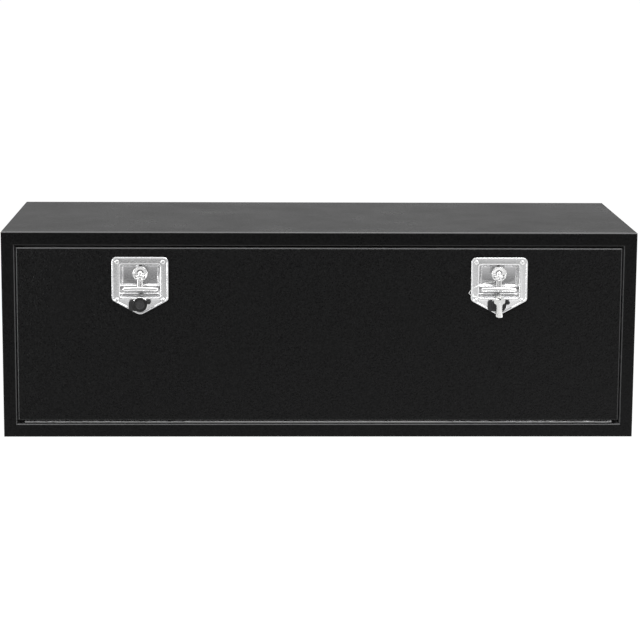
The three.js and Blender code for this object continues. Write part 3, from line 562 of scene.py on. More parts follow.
def extruded(name, outline, near, far):
    """A closed outline in X and Z carried along Y."""
    return lofted(name, [[(x, y, z) for x, z in outline] for y in (near, far)])


def hole(radius, near, far, x, z, sides=32):
    return extruded("hole", circle(radius, x, z, sides), near, far)


def ellipsoid(name, centre, radii, rows=24, sides=40):
    sections = []
    for row in range(rows + 1):
        turn = pi * between(POLE_SHARE, 1 - POLE_SHARE, row / rows)
        across = -radii[0] * cos(turn)
        size = sin(turn)
        sections.append([(centre[0] + across, centre[1] + radii[1] * y, centre[2] + radii[2] * z)
                         for y, z in circle(size, sides=sides)])
    return lofted(name, sections)


def seat(piece, origin, body, slot, *nodes, degrees=SMOOTH_DEG):
    """Scales a piece from millimetres onto its origin, and lets it ride and stand for its nodes."""
    piece.data.transform(Matrix.Translation(origin) @ Matrix.Scale(MM, 4))
    piece.data.shade_smooth()
    piece.data.set_sharp_from_angle(angle=radians(degrees))
    piece.data.materials.clear()
    piece.data.materials.append(finishes[slot])
    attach(piece, body)
    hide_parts(*nodes)


# Materials
def node_tree(name):
    finish = bpy.data.materials.new(name)
    finish.use_nodes = True
    return finish, finish.node_tree, finish.node_tree.nodes["Principled BSDF"]


def fill(tree, node, *values, **named):
    """Gives a node's first inputs, and those named, values or other nodes' outputs."""
    inputs = dict(enumerate(values)) | {key.replace("_", " "): value for key, value in named.items()}
    for key, value in inputs.items():
        if isinstance(value, bpy.types.NodeSocket):
            tree.links.new(value, node.inputs[key])
        else:
            node.inputs[key].default_value = value
    return node


def add(tree, kind, *values, **named):
    return fill(tree, tree.nodes.new(kind), *values, **named)


def object_space(tree, scale=(1, 1, 1)):
    place = add(tree, "ShaderNodeTexCoord").outputs["Object"]
    return add(tree, "ShaderNodeMapping", Vector=place, Scale=scale).outputs["Vector"]


def noise(tree, vector, scale, detail, rough):
    node = add(tree, "ShaderNodeTexNoise", Vector=vector, Scale=scale, Detail=detail, Roughness=rough)
    return node.outputs["Fac"]


def spread(tree, value, low, high, from_low=0.3, from_high=0.7):
    """A value taken from one range, a noise's usual one, to another."""
    return add(tree, "ShaderNodeMapRange", value, from_low, from_high, low, high).outputs[0]


def mixed(tree, factor, first, second, kind="FLOAT"):
    """Something between two, each a value or another node's output."""
    node = tree.nodes.new("ShaderNodeMix")
    node.data_type = kind
    return fill(tree, node, A=first, B=second, Factor=factor).outputs["Result"]


def tint(tree, factor, first, second):
    """A colour between two, each a colour or another node's output."""
    first, second = ((*colour, 1) if isinstance(colour, tuple) else colour for colour in (first, second))
    return mixed(tree, factor, first, second, "RGBA")


def calculated(tree, operation, *values):
    """A sum or the like of values, each a number or another node's output."""
    node = tree.nodes.new("ShaderNodeMath")
    node.operation = operation
    return fill(tree, node, *values).outputs[0]


def bump(tree, shader, height, distance, strength, before=None):
    """Bumps on the shader, over those before."""
    node = add(tree, "ShaderNodeBump", Distance=distance, Strength=strength, Height=height)
    if before:
        fill(tree, node, Normal=before)
    fill(tree, shader, Normal=node.outputs["Normal"])
    return node.outputs["Normal"]


def edge_highlight_share(tree, half, centre, band):
    """How much of the painted edge highlight's colour shows in a band along a rectangle in X and Z."""
    split = add(tree, "ShaderNodeSeparateXYZ", object_space(tree))
    reaches = []
    for axis, size, middle in zip("XZ", half, centre):
        away = calculated(tree, "ABSOLUTE", calculated(tree, "SUBTRACT", split.outputs[axis], middle))
        reaches.append(calculated(tree, "SUBTRACT", away, size))
    return spread(tree, calculated(tree, "MAXIMUM", *reaches), *band)


def powder_coat(name, dark, light, pimple, specular, low_rough, high_rough, edges=()):
    """Black powder coat: a speckle over small soft pimples, smoother along its edges and lighter there by a
    painted highlight.
    """
    finish, tree, shader = node_tree(name)
    vector = object_space(tree)
    grain = noise(tree, vector, *COAT_FINE)
    pimples = noise(tree, vector, *COAT_PIMPLES)
    patch = noise(tree, vector, *COAT_PATCHES)
    speckle = noise(tree, vector, *COAT_SPECKLE)
    colour = tint(tree, spread(tree, speckle, 0, 1), dark, light)
    # Each edge band paints a highlight into the coat's colour and softens its pimples
    for edge in edges:
        painted_highlight = edge_highlight_share(tree, *edge)
        colour = tint(tree, painted_highlight, colour, EDGE_HIGHLIGHT_COLOUR)
        pimple = mixed(tree, painted_highlight, pimple, EDGE_PIMPLES)
    rough = spread(tree, patch, low_rough, high_rough)
    fill(tree, shader, Base_Color=colour, Roughness=rough, Specular_IOR_Level=specular)
    pimpled = bump(tree, shader, spread(tree, pimples, 0, 1), COAT_PIMPLE_DEPTH, pimple)
    bump(tree, shader, grain, *COAT_FINE_BUMP, pimpled)
    return finish


def painted_light_share(tree):
    """How much painted light a mesh's attribute gives each point."""
    painted_share = tree.nodes.new("ShaderNodeAttribute")
    painted_share.attribute_name = "painted_light"
    return painted_share.outputs["Fac"]


def metal(name, dark, light, low_rough, high_rough, brush=(1, 1, 1), grain=METAL_GRAIN, painted_light=None):
    """Metal: a tone that drifts a little, uneven gloss, fine brushing or casting grain, and any painted light
    and shade.
    """
    finish, tree, shader = node_tree(name)
    drift = noise(tree, object_space(tree), *METAL_TONES)
    lines = noise(tree, object_space(tree, brush), grain, *GRAIN_DETAIL)
    tone = tint(tree, drift, dark, light)
    # Painted light: a lighter wall tone as a painted highlight, a darker floor tone as painted shade, by the
    # mesh's attribute
    if painted_light:
        wall, floor = painted_light
        painted_share = painted_light_share(tree)
        tone = tint(tree, spread(tree, painted_share, 0, 1, 0, 0.5), wall, tone)
        tone = tint(tree, spread(tree, painted_share, 0, 1, 0.5, 1), tone, floor)
    rough = spread(tree, lines, low_rough, high_rough)
    fill(tree, shader, Base_Color=tone, Roughness=rough, Metallic=1)
    bump(tree, shader, lines, *METAL_BUMP)
    return finish


def rubber(name, dark, light, grain, painted_highlight=None):
    """Matt mottled rubber, with a painted highlight: lighter in patches where the mesh's attribute is high.
    """
    finish, tree, shader = node_tree(name)
    vector = object_space(tree)
    grit = noise(tree, vector, grain, *GRAIN_DETAIL)
    bloom = noise(tree, vector, *RUBBER_TONES)
    tone = tint(tree, spread(tree, bloom, 0, 1), dark, light)
    if painted_highlight:
        # Painted highlight, in patches of the mottling, where the mesh's attribute is high
        tone = tint(tree, mixed(tree, bloom, painted_light_share(tree), 0), tone, painted_highlight)
    rough = spread(tree, grit, *RUBBER_ROUGHNESS)
    fill(tree, shader, Base_Color=tone, Roughness=rough, Specular_IOR_Level=RUBBER_SPECULAR)
    bump(tree, shader, grit, *RUBBER_BUMP)
    return finish


def make_finishes():
    """All materials by name, each from its maker and what that takes."""
    # The frame's opening and top edge and the door's edges get a highlight painted into their coat
    frame_edges = [(*rectangle("front_frame", -FLANGE), OPENING_EDGE), (*top_edge("front_frame"), TOP_EDGE)]
    door_edges = [(*rectangle("door_skin"), DOOR_EDGE)]
    even = (1, 1, 1)
    # Painted light on the plate: a lighter tone on its walls as a painted highlight, a darker one on the
    # dish's floor as painted shade
    painted_light = ((0.97, 0.97, 0.97), (0.48, 0.48, 0.485))
    recipes = {
        "powder_coat": (powder_coat, *PLAIN_COAT),
        "frame_coat": (powder_coat, *PLAIN_COAT, frame_edges),
        "door_coat": (powder_coat, *DOOR_COAT, door_edges),
        "seal_rubber": (rubber, (0.008, 0.008, 0.008), (0.014, 0.014, 0.014), 900),
        "hinge_steel": (metal, (0.16, 0.16, 0.16), (0.22, 0.22, 0.22), 0.3, 0.42, (0.3, 1, 1)),
        "stainless": (metal, (0.74, 0.74, 0.745), (0.82, 0.82, 0.825), 0.2, 0.3, (0.06, 1, 1), 1800, painted_light),
        "rivet_steel": (metal, (0.84, 0.84, 0.84), (0.9, 0.9, 0.9), 0.12, 0.2),
        "handle_steel": (metal, (0.76, 0.76, 0.76), (0.82, 0.82, 0.82), 0.08, 0.16),
        "zinc": (metal, (0.46, 0.46, 0.44), (0.56, 0.55, 0.5), 0.32, 0.5, even, 500),
        "lock_chrome": (metal, (0.78, 0.78, 0.79), (0.84, 0.84, 0.84), 0.08, 0.16),
        "brass": (metal, (0.55, 0.38, 0.14), (0.62, 0.45, 0.2), 0.25, 0.4),
        # The flap's last tone is its painted highlight
        "flap_rubber": (rubber, (0.001, 0.001, 0.001), (0.012, 0.012, 0.012), 700, (0.09, 0.09, 0.092)),
        "key_nickel": (metal, (0.8, 0.8, 0.79), (0.86, 0.86, 0.85), 0.16, 0.3, (1, 1, 0.1), 1400),
    }
    return {name: make(name, *values) for name, (make, *values) in recipes.items()}


finishes = make_finishes()


# Carried-over CAD sheets and fittings
def shade_nodes():
    """Geometry nodes that shade smooth over soft edges and keep the sharp ones."""
    group = bpy.data.node_groups.new("soft_shading", "GeometryNodeTree")
    for way in ("INPUT", "OUTPUT"):
        group.interface.new_socket("Geometry", in_out=way, socket_type="NodeSocketGeometry")
    start = add(group, "NodeGroupInput")
    angle = add(group, "GeometryNodeInputMeshEdgeAngle")
    soft = group.nodes.new("FunctionNodeCompare")
    soft.operation = "LESS_EQUAL"
    fill(group, soft, A=angle.outputs["Unsigned Angle"], B=radians(SMOOTH_DEG))
    faces = add(group, "GeometryNodeSetShadeSmooth", Geometry=start.outputs[0])
    edges = group.nodes.new("GeometryNodeSetShadeSmooth")
    edges.domain = "EDGE"
    fill(group, edges, Geometry=faces.outputs[0], Shade_Smooth=soft.outputs["Result"])
    add(group, "NodeGroupOutput", edges.outputs[0])
    return group


def dress(node, width, shading):
    """Welds, bevels and shades a CAD node, by modifiers alone."""
    modify(node, "weld", "WELD", merge_threshold=WELD_METRES)
    if width:
        add_bevel(node, width)
    modify(node, "shading", "NODES", node_group=shading)
    modify(node, "normals", "WEIGHTED_NORMAL", keep_sharp=True)


def dress_frame():
    """Gives every CAD node its material and soft shading, and the thick sheets soft edges."""
    shading = shade_nodes()
    slots = {part["node"]: part["material_slot"] for part in frame["record"]["subparts"]}
    for name, node in frame["nodes"].items():
        finish = OWN_COATS.get(name, slots[name])
        node.material_slots[0].material = finishes[finish]
        dress(node, SHEET_BEVEL * MM if name in BEVELLED else 0, shading)


# Continuous hinge: each leaf a strip with every second knuckle rolled from it
def leaf_section(face_side):
    """A knuckle's rolled sheet: its outer and its inner points, in depth and height."""
    first = 90 * face_side
    last = first + ROLL_TURN * face_side
    sides = []
    for sunk in (0, LEAF_SHEET):
        roll = arc(0, 0, BARREL_SEEN - sunk, first, last, ROLL_STEPS)
        sides.append([(NOTCH_BACK, (BARREL_OUTER - sunk) * face_side)] + roll)
    return sides


def build_leaf(name, first, face_side, body):
    """One leaf: a strip along the hinge, and every second knuckle from the first given one."""
    axis = joint_place("door_hinge")
    low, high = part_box(name)
    half = (high.x - low.x) / 2 / MM
    strip_back = (high.y - axis.y) / MM
    outer, inner = leaf_section(face_side)
    pitch = 2 * half / KNUCKLES
    rolls = []
    for index in range(first, KNUCKLES, 2):
        start = -half + index * pitch + KNUCKLE_GAP / 2
        rolls.append((start, start + pitch - KNUCKLE_GAP))
    stations = sorted({-half, half}.union(*rolls))
    front = (outer[0], inner[0])
    back = ((strip_back, outer[0][1]), (strip_back, inner[0][1]))
    corners = (front[0], front[1], back[1], back[0])
    vertices = []
    faces = []

    def quad(*points):
        faces.append(tuple(range(len(vertices), len(vertices) + len(points))))
        vertices.extend(points)

    def band(x0, x1, a, b):
        quad((x0, *a), (x1, *a), (x1, *b), (x0, *b))

    for x0, x1 in zip(stations, stations[1:]):
        band(x0, x1, front[0], back[0])
        band(x0, x1, front[1], back[1])
        band(x0, x1, back[0], back[1])
        if (x0, x1) not in rolls:
            band(x0, x1, front[0], front[1])
            continue
        for step in range(len(outer) - 1):
            band(x0, x1, outer[step], outer[step + 1])
            band(x0, x1, inner[step], inner[step + 1])
            for x in (x0, x1):
                quad((x, *outer[step]), (x, *outer[step + 1]), (x, *inner[step + 1]), (x, *inner[step]))
        band(x0, x1, outer[-1], inner[-1])
    for x in (-half, half):
        quad(*[(x, *corner) for corner in corners])
    leaf = solid_from(f"{name}_rolled", vertices, faces)
    seat(leaf, axis, body, "hinge_steel", name)


def build_hinge():
    build_leaf("hinge_leaf_frame", 0, -1, "box")
    build_leaf("hinge_leaf_door", 1, 1, "door")
    low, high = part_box("hinge_pin")
    half = (high.x - low.x) / 2 / MM
    full = half - PIN_POINT
    ends = ((-half, PIN_POINT_SHARE), (-full, 1), (full, 1), (half, PIN_POINT_SHARE))
    sections = [[(x, y, z) for y, z in circle(PIN_RADIUS * share, sides=20)] for x, share in ends]
    seat(lofted("hinge_pin_wire", sections), joint_place("door_hinge"), "box", "hinge_steel", "hinge_pin")


# Latch plate: loops of equal count from the rim in to the middle of the dish's floor
def plate_loop(half, side_drop, height, inset):
    """The plate's outline, a rectangle with a blunt tip below, brought in by the inset."""
    lean = inset * (1 - sin(PLATE_SLOPE)) / cos(PLATE_SLOPE)
    tip = height - inset / cos(PLATE_SLOPE)
    left = [
        (-half + inset, -inset, PLATE_CORNER - inset),
        (-half + inset, -side_drop + lean, PLATE_SHOULDER - inset),
    ]
    return rounded_loop(both_sides(left, (0, -tip, PLATE_TIP - inset)), CORNER_STEPS, EDGE_STEPS)


def dish_loop(inset):
    """The dish's outline, brought in by the inset, with as many points as the plate's."""
    middle = -DISH_TOP - DISH_HEIGHT / 2
    half_x = DISH_WIDTH / 2 - inset
    half_z = DISH_HEIGHT / 2 - inset
    radius = max(DISH_CORNER - DISH_CORNER_LOSS * inset, DISH_CORNER_LEAST)
    left = [(-half_x, middle + half_z, radius), (-half_x, middle - half_z, radius)]
    foot = (0, middle - half_z, DISH_FOOT_SHARE * half_x)
    return rounded_loop(both_sides(left, foot), CORNER_STEPS, EDGE_STEPS)


def step_depth(z):
    """The depth of the dish's floor at a height: deep behind the hub, then a ledge, then a shelf."""
    ledge = eased((-z - STEP_DROP) / STEP_SLOPE)
    shelf = eased((-z - SHELF_DROP) / SHELF_SLOPE)
    return DISH_FLOOR + STEP_BLEND - (STEP_RISE + STEP_BLEND) * ledge - SHELF_RISE * shelf


def rim_profile():
    """Inset and depth from the plate's edge, over its raised bead, to the flat field."""
    points = [(0, PLATE_REAR), (0, RIM_TURN)]
    for step in range(1, BEAD_STEPS):
        angle = pi * step / BEAD_STEPS
        points.append((BEAD_WIDTH / 2 * (1 - cos(angle)), PLATE_FRONT - BEAD_HEIGHT * sin(angle)))
    return points + [(BEAD_WIDTH + inset, PLATE_FRONT + sunk) for inset, sunk in BEAD_FOOT]


def dish_profile():
    """Inset from the dish's mouth and depth: over the lip, down the wall and in along the floor."""
    points = [(inset, PLATE_FRONT - rise) for inset, rise in LIP_RISE]
    points += arc(-LIP_INSET, PLATE_FRONT - LIP_RAISE + LIP_ROUND, LIP_ROUND, 270, LIP_TURN, WALL_STEPS)
    wall_inset, wall_depth = points[-1]
    foot_inset = DISH_TAPER - LIP_INSET
    foot_depth = DISH_FLOOR - DISH_ROUND
    for step in range(1, WALL_STEPS):
        share = step / WALL_STEPS
        points.append((between(wall_inset, foot_inset, share), between(wall_depth, foot_depth, share)))
    points += arc(foot_inset + DISH_ROUND, foot_depth, DISH_ROUND, 180, 90, WALL_STEPS - 1)
    last = points[-1][0]
    reach = DISH_HEIGHT / 2 - DISH_MIDDLE - last
    return points + [(last + reach * step / DISH_STEPS, DISH_FLOOR) for step in range(1, DISH_STEPS + 1)]


def crowned(x, z, depth):
    """The dish's floor bellies a little: full depth in the middle, less towards its edges."""
    across = x / (DISH_WIDTH / 2)
    along = (z + HUB_DROP) / (HUB_DROP - DISH_TOP)
    belly = min(across * across + along * along, 1)
    sunk = max(0, (depth - PLATE_FRONT) / (DISH_FLOOR - PLATE_FRONT))
    return depth - DISH_CROWN * belly * sunk ** 3


def wall_light_floor_shade(vertex):
    """Painted light: 0 for a painted highlight on steep walls, a half on the field, 1 for painted shade on
    the dish's floor.
    """
    sunk = share_between(vertex.co.y, *PAINTED_LIGHT_DEPTHS)
    flat = share_between(abs(vertex.normal.y), *PAINTED_LIGHT_SLOPES)
    return 0.5 + sunk * (flat - 0.5)


def build_plate(side):
    """The stamped sheet of one latch, with its holes."""
    low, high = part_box(f"{side}_latch_plate")
    half = (high.x - low.x) / 2 / MM
    tip = LOCK_DROP + LOCK_TO_EDGE / cos(PLATE_SLOPE)
    side_drop = tip - half * tan(PLATE_SLOPE)
    loops = []
    for inset, depth in rim_profile():
        loops.append([(p.x, depth, p.y) for p in plate_loop(half, side_drop, tip, inset)])
    for inset, depth in dish_profile():
        loops.append([(p.x, crowned(p.x, p.y, smooth_least(depth, step_depth(p.y), STEP_BLEND)), p.y)
                      for p in dish_loop(inset)])
    count = len(loops[0])
    vertices = [point for loop in loops for point in loop]
    faces = walls(len(loops), count)
    faces.append(tuple(range((len(loops) - 1) * count, len(loops) * count)))
    plate = mesh_object(f"{side}_pressed_plate", vertices, faces)
    modify(plate, "sheet", "SOLIDIFY", thickness=PLATE_SHEET, offset=-1)
    bake_modifiers(plate)
    cutters = [
        hole(SHAFT_HOLE, *DISH_CUT, 0, -HUB_DROP),
        hole(LOCK_HOLE, *FIELD_CUT, 0, -LOCK_DROP),
        hole(FLAP_PIN_HOLE, *FIELD_CUT, FLAP_PIN_X, -FLAP_PIN_DROP),
    ]
    cutters += [hole(RIVET_HOLE, *FIELD_CUT, x, -drop) for x in (-RIVET_X, RIVET_X) for drop in RIVET_DROPS]
    join_solids(plate, cutters, "DIFFERENCE")
    # Painted light: a highlight on the dish's walls and shade on its floor, held in the mesh for the material
    write_painted_light(plate, wall_light_floor_shade)
    seat(plate, plate_top(side), "door", "stainless", f"{side}_latch_plate")


# Hub and folding handle
def build_hub(side):
    """A cup with a round rim, a pocket for the handle's ball, a slot for its stem, and a shaft."""
    rim = HUB_RADIUS - HUB_RIM
    profile = [(0, HUB_CUP)]
    profile += [(rim - HUB_RIM - inset, HUB_CUP - rise) for inset, rise in HUB_CUP_FOOT]
    profile += arc(rim, HUB_FRONT + HUB_RIM, HUB_RIM, 180, 360, steps=12)
    profile += [(HUB_RADIUS, HUB_BACK - HUB_BEVEL), (HUB_RADIUS - HUB_BEVEL, HUB_BACK)]
    profile += [(SHAFT_RADIUS, HUB_BACK), (SHAFT_RADIUS, SHAFT_END), (0, SHAFT_END)]
    cup = turned(f"{side}_hub_cup", profile, sides=72, z=-HUB_DROP)
    half = HUB_SLOT_HALF
    dome = arc(0, POCKET_TOP - HUB_DROP - half, half, 0, 180, steps=16)
    pocket_outline = dome + [(-half, -HUB_DROP - POCKET_FOOT), (half, -HUB_DROP - POCKET_FOOT)]
    pocket = extruded("pocket", pocket_outline, HUB_CUT_FRONT, POCKET_DEPTH)
    foot, top = (-HUB_DROP - drop for drop in HUB_SLOT_DROPS)
    slot = extruded("slot", oblong(-half, half, foot, top), HUB_CUT_FRONT, HUB_SLOT_DEPTH)
    join_solids(cup, [pocket, slot], "DIFFERENCE")
    round_edges(cup, HUB_BEVEL)
    corner = SQUARE_HALF
    square_outline = oblong(-corner, corner, -HUB_DROP - corner, -HUB_DROP + corner)
    square = extruded("square", square_outline, SHAFT_END - SQUARE_ROOT, SQUARE_END)
    join_solids(cup, [square, hole(STUD_RADIUS, SHAFT_END, STUD_END, 0, -HUB_DROP)])
    seat(cup, plate_top(side), f"{side}_hub", "handle_steel", f"{side}_handle_hub")


def stem_piece(name, rows, halves, low, high):
    """A strip along the stem, with a half width at each row, from low behind its middle to high before it."""
    top = Vector((0, FOLD_DEPTH, -HUB_DROP))
    foot = Vector((0, BAR_DEPTH, -BAR_DROP))
    outward = (foot - top).cross(Vector((1, 0, 0))).normalized()
    cut = STEM_CHAMFER
    section = ((-1, low), (1, low), (1, high * cut), (cut, high), (-cut, high), (-1, high * cut))
    sections = []
    for share, half in zip(rows, halves):
        centre = top.lerp(foot, share)
        sections.append([centre + Vector((x * half, 0, 0)) + outward * y for x, y in section])
    return lofted(name, sections)


def grip_bar():
    """The bar across the handle's foot: a little bowed, with rounded ends."""
    sections = []
    for row in range(BAR_ROWS + 1):
        share = -1 + 2 * row / BAR_ROWS
        edge = abs(share)
        past = max(0, (edge - BAR_END_START) / (1 - BAR_END_START))
        round_share = sqrt(max(1 - past ** 2 * (1 - BAR_END_SHARE ** 2), 0))
        drop = -BAR_DROP + BAR_BOW * (1 - edge * edge) - BAR_BOW / 2
        sections.append([(share * BAR_LENGTH / 2, BAR_DEPTH + y, drop + z * BAR_HEIGHT / BAR_THICKNESS)
                         for y, z in circle(BAR_THICKNESS / 2 * round_share, sides=32)])
    return lofted("grip", sections)


def build_handle(side):
    """The folding handle, cast in one: ball, collar, grooved stem and bar."""
    body = ellipsoid(f"{side}_handle_body", (0, FOLD_DEPTH, -HUB_DROP), BALL)
    collar = ellipsoid("collar", (0, COLLAR_DEPTH, -HUB_DROP - COLLAR_DROP), COLLAR)
    half = STEM_THICKNESS / 2
    rows = [row / STEM_ROWS for row in range(STEM_ROWS + 1)]
    halves = [STEM_WIDTH / 2 + STEM_FLARE * max(0, share - STEM_FLARE_START) ** 2 for share in rows]
    stem = stem_piece("stem", rows, halves, -half, half)
    join_solids(body, [collar, grip_bar(), stem])
    groove_halves = [GROOVE_WIDTH / 2] * len(GROOVE_ROWS)
    groove = stem_piece("groove", GROOVE_ROWS, groove_halves, half - GROOVE_DEPTH, half + GROOVE_AHEAD)
    scallop = ellipsoid("scallop", (0, SCALLOP_DEPTH, -HUB_DROP - SCALLOP_DROP), SCALLOP)
    join_solids(body, [groove, scallop], "DIFFERENCE")
    soften(body, HANDLE_VOXEL, rounds=3)
    seat(body, plate_top(side), f"{side}_handle", "handle_steel", f"{side}_t_handle")


# Rivets, lock and flap
def build_rivet(side, number, x, drop):
    """A pulled rivet: a domed head with the mandrel's dimple, a shank and a formed tail."""
    base = PLATE_FRONT - FITTING_SUNK
    crown = base - RIVET_HEAD
    foot = crown + RIVET_DIMPLE_DEPTH
    shoulder = RIVET_DIMPLE + RIVET_SHOULDER
    profile = [(0, foot), (RIVET_DIMPLE * RIVET_DIMPLE_SHARE, foot)]
    profile += [(RIVET_DIMPLE, crown + RIVET_SHOULDER), (RIVET_DIMPLE + RIVET_EDGE, crown + RIVET_CREST)]
    for step in range(1, RIVET_STEPS + 1):
        angle = radians(90 * step / RIVET_STEPS)
        across = shoulder + (RIVET_RADIUS - shoulder) * sin(angle)
        profile.append((across, base - RIVET_EDGE - (RIVET_HEAD - RIVET_EDGE) * cos(angle)))
    profile += [(RIVET_RADIUS - RIVET_UNDERCUT, base), (RIVET_SHANK, base), *RIVET_TAIL]
    rivet = turned(f"{side}_rivet_{number}", profile, sides=40, x=x, z=-drop)
    seat(rivet, plate_top(side), "door", "rivet_steel", f"{side}_latch_rivet_{number}")


def build_bezel(side):
    """The lock's hollow body and its wide face, with a dished mouth round the plug."""
    base = PLATE_FRONT - FITTING_SUNK
    face = base - BEZEL_HEIGHT
    mouth = face + BEZEL_MOUTH_DEPTH
    profile = [(PLUG_BORE, LOCK_END), (PLUG_BORE, mouth)]
    profile += arc(PLUG_BORE + BEZEL_MOUTH_ROUND, mouth, BEZEL_MOUTH_ROUND, 180, 270, steps=4)
    profile += [(PLUG_BORE + out, face + sunk) for out, sunk in BEZEL_MOUTH]
    profile += arc(BEZEL_RADIUS - BEZEL_ROUND, face + BEZEL_ROUND, BEZEL_ROUND, 270, 360, steps=6)
    profile += [(BEZEL_RADIUS, base), (LOCK_BODY, base), (LOCK_BODY, LOCK_END), (PLUG_BORE, LOCK_END)]
    bezel = turned(f"{side}_lock_bezel", profile, sides=72, z=-LOCK_DROP)
    seat(bezel, plate_top(side), "door", "lock_chrome", f"{side}_lock_cylinder")


def build_plug(side):
    """The turning plug: a keyway with a rib in front, and a screw's bore behind."""
    low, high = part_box(f"{side}_key_plug")
    origin = plate_top(side)
    near = (low.y - origin.y) / MM
    far = (high.y - origin.y) / MM
    inset, sunk = PLUG_FRONT_BEVEL
    rear = PLUG_REAR_BEVEL
    profile = [(0, near), (PLUG_RADIUS - inset, near), (PLUG_RADIUS, near + sunk)]
    profile += [(PLUG_RADIUS, far - rear), (PLUG_RADIUS - rear, far), (0, far)]
    plug = turned(f"{side}_plug_turned", profile, sides=48, z=-LOCK_DROP)
    half_x, half_z, depth = KEYWAY
    rib_share, rib_half = KEYWAY_RIB
    z = -LOCK_DROP
    left_foot, right_foot, right_top, left_top = oblong(-half_x, half_x, z - half_z, z + half_z)
    rib = [(half_x, z - rib_half), (half_x * rib_share, z), (half_x, z + rib_half)]
    outline = [left_foot, right_foot, *rib, right_top, left_top]
    keyway = extruded("keyway", outline, near - PLUG_CUT, near + depth)
    bore, bore_depth = SCREW_BORE
    bored = hole(bore, far - bore_depth, far + PLUG_CUT, 0, z, sides=20)
    join_solids(plug, [keyway, bored], "DIFFERENCE")
    round_edges(plug, PLUG_EDGE)
    seat(plug, origin, f"{side}_plug", "brass", f"{side}_key_plug")


def build_flap(side):
    """The rubber flap: a disc with a raised ring, a tab to the left and a lug for its pin."""
    back = FLAP_FRONT + FLAP_THICKNESS
    z = -LOCK_DROP
    rear = FLAP_REAR_BEVEL
    front = FLAP_FRONT_BEVEL
    profile = [(0, back), (FLAP_RADIUS - rear, back), (FLAP_RADIUS, back - rear)]
    profile += [(FLAP_RADIUS, FLAP_FRONT + front), (FLAP_RADIUS - front, FLAP_FRONT), (FLAP_RING, FLAP_FRONT)]
    profile += [(FLAP_RING + inwards, FLAP_FRONT + sunk) for inwards, sunk in FLAP_FACE]
    body = turned(f"{side}_rubber_flap", profile, z=z)
    corners = (
        (0, z + FLAP_TAB_RISE, FLAP_TAB_ROOT),
        (-FLAP_TAB_REACH, z + FLAP_TAB_RISE, FLAP_TAB_CORNER),
        (-FLAP_TAB_REACH, z - FLAP_TAB_FALL, FLAP_TAB_CORNER),
        (0, z - FLAP_TAB_FALL, FLAP_TAB_ROOT),
    )
    outline = rounded_loop(corners, steps=(1, 8, 8, 1), edge_steps=(2, 2, 2, 2))
    tab = extruded("tab", outline, FLAP_FRONT + FLAP_TAB_INSET, back)
    lug_z = -FLAP_PIN_DROP
    lug_front = FLAP_FRONT + FLAP_LUG_INSET
    strap = extruded("strap", oblong(0, FLAP_PIN_X, lug_z - FLAP_LUG, lug_z + FLAP_LUG), lug_front, back)
    lug = extruded("lug", circle(FLAP_LUG, FLAP_PIN_X, lug_z), lug_front, back)
    (root_in, crest_in, crest_out, root_out), rise = FLAP_BEAD
    crest = FLAP_FRONT - rise
    root = back - FLAP_BEAD_ROOT
    bead = [(root_in, root), (crest_in, crest), (crest_out, crest), (root_out, root), (root_in, root)]
    ring = turned("ring", [(FLAP_RING + inwards, depth) for inwards, depth in bead], z=z)
    join_solids(body, [tab, strap, lug, ring])
    join_solids(body, [hole(FLAP_PIN_HOLE, *FLAP_CUT, FLAP_PIN_X, lug_z)], "DIFFERENCE")
    soften(body, FLAP_VOXEL, rounds=2)
    # The flap gets a painted highlight within its ring and, half as strong, on its tab and lug
    write_painted_light(body, flap_highlight_share)
    seat(body, plate_top(side), f"{side}_flap", "flap_rubber", f"{side}_key_flap")


def flap_highlight_share(vertex):
    """Where a highlight is painted on the rubber: 1 within the ring, 0 on the disc's rim, a half on the tab
    and the lug.
    """
    ring_fade, rim, tab_fade = FLAP_HIGHLIGHT_FADE
    away = hypot(vertex.co.x, vertex.co.z + LOCK_DROP)
    return eased((FLAP_RING - away) / ring_fade) + 0.5 * eased((away - FLAP_RADIUS - rim) / tab_fade)


def build_flap_pin(side):
    """The pin that the flap turns on, with a domed head and a formed tail."""
    head = FLAP_FRONT - FLAP_PIN_LIFT
    profile = [(radius, head + depth) for radius, depth in FLAP_PIN_HEAD] + list(FLAP_PIN_TAIL)
    pin = turned(f"{side}_flap_rivet", profile, sides=32, x=FLAP_PIN_X, z=-FLAP_PIN_DROP)
    seat(pin, plate_top(side), "door", "flap_rubber", f"{side}_flap_pin")


# Key ring and keys
def centripetal(points, steps_each):
    """Points of a closed centripetal Catmull-Rom curve through the given ones."""
    count = len(points)
    places = []
    for index in range(count):
        p0, p1, p2, p3 = (points[(index + offset) % count] for offset in (-1, 0, 1, 2))
        d0, d1, d2 = (sqrt((b - a).length) for a, b in ((p0, p1), (p1, p2), (p2, p3)))
        leave = ((p1 - p0) / d0 - (p2 - p0) / (d0 + d1) + (p2 - p1) / d1) * d1
        arrive = ((p2 - p1) / d1 - (p3 - p1) / (d1 + d2) + (p3 - p2) / d2) * d1
        for step in range(steps_each):
            t = step / steps_each
            places.append(p1 + leave * t + (3 * (p2 - p1) - 2 * leave - arrive) * t ** 2
                          + (2 * (p1 - p2) + leave + arrive) * t ** 3)
    return places


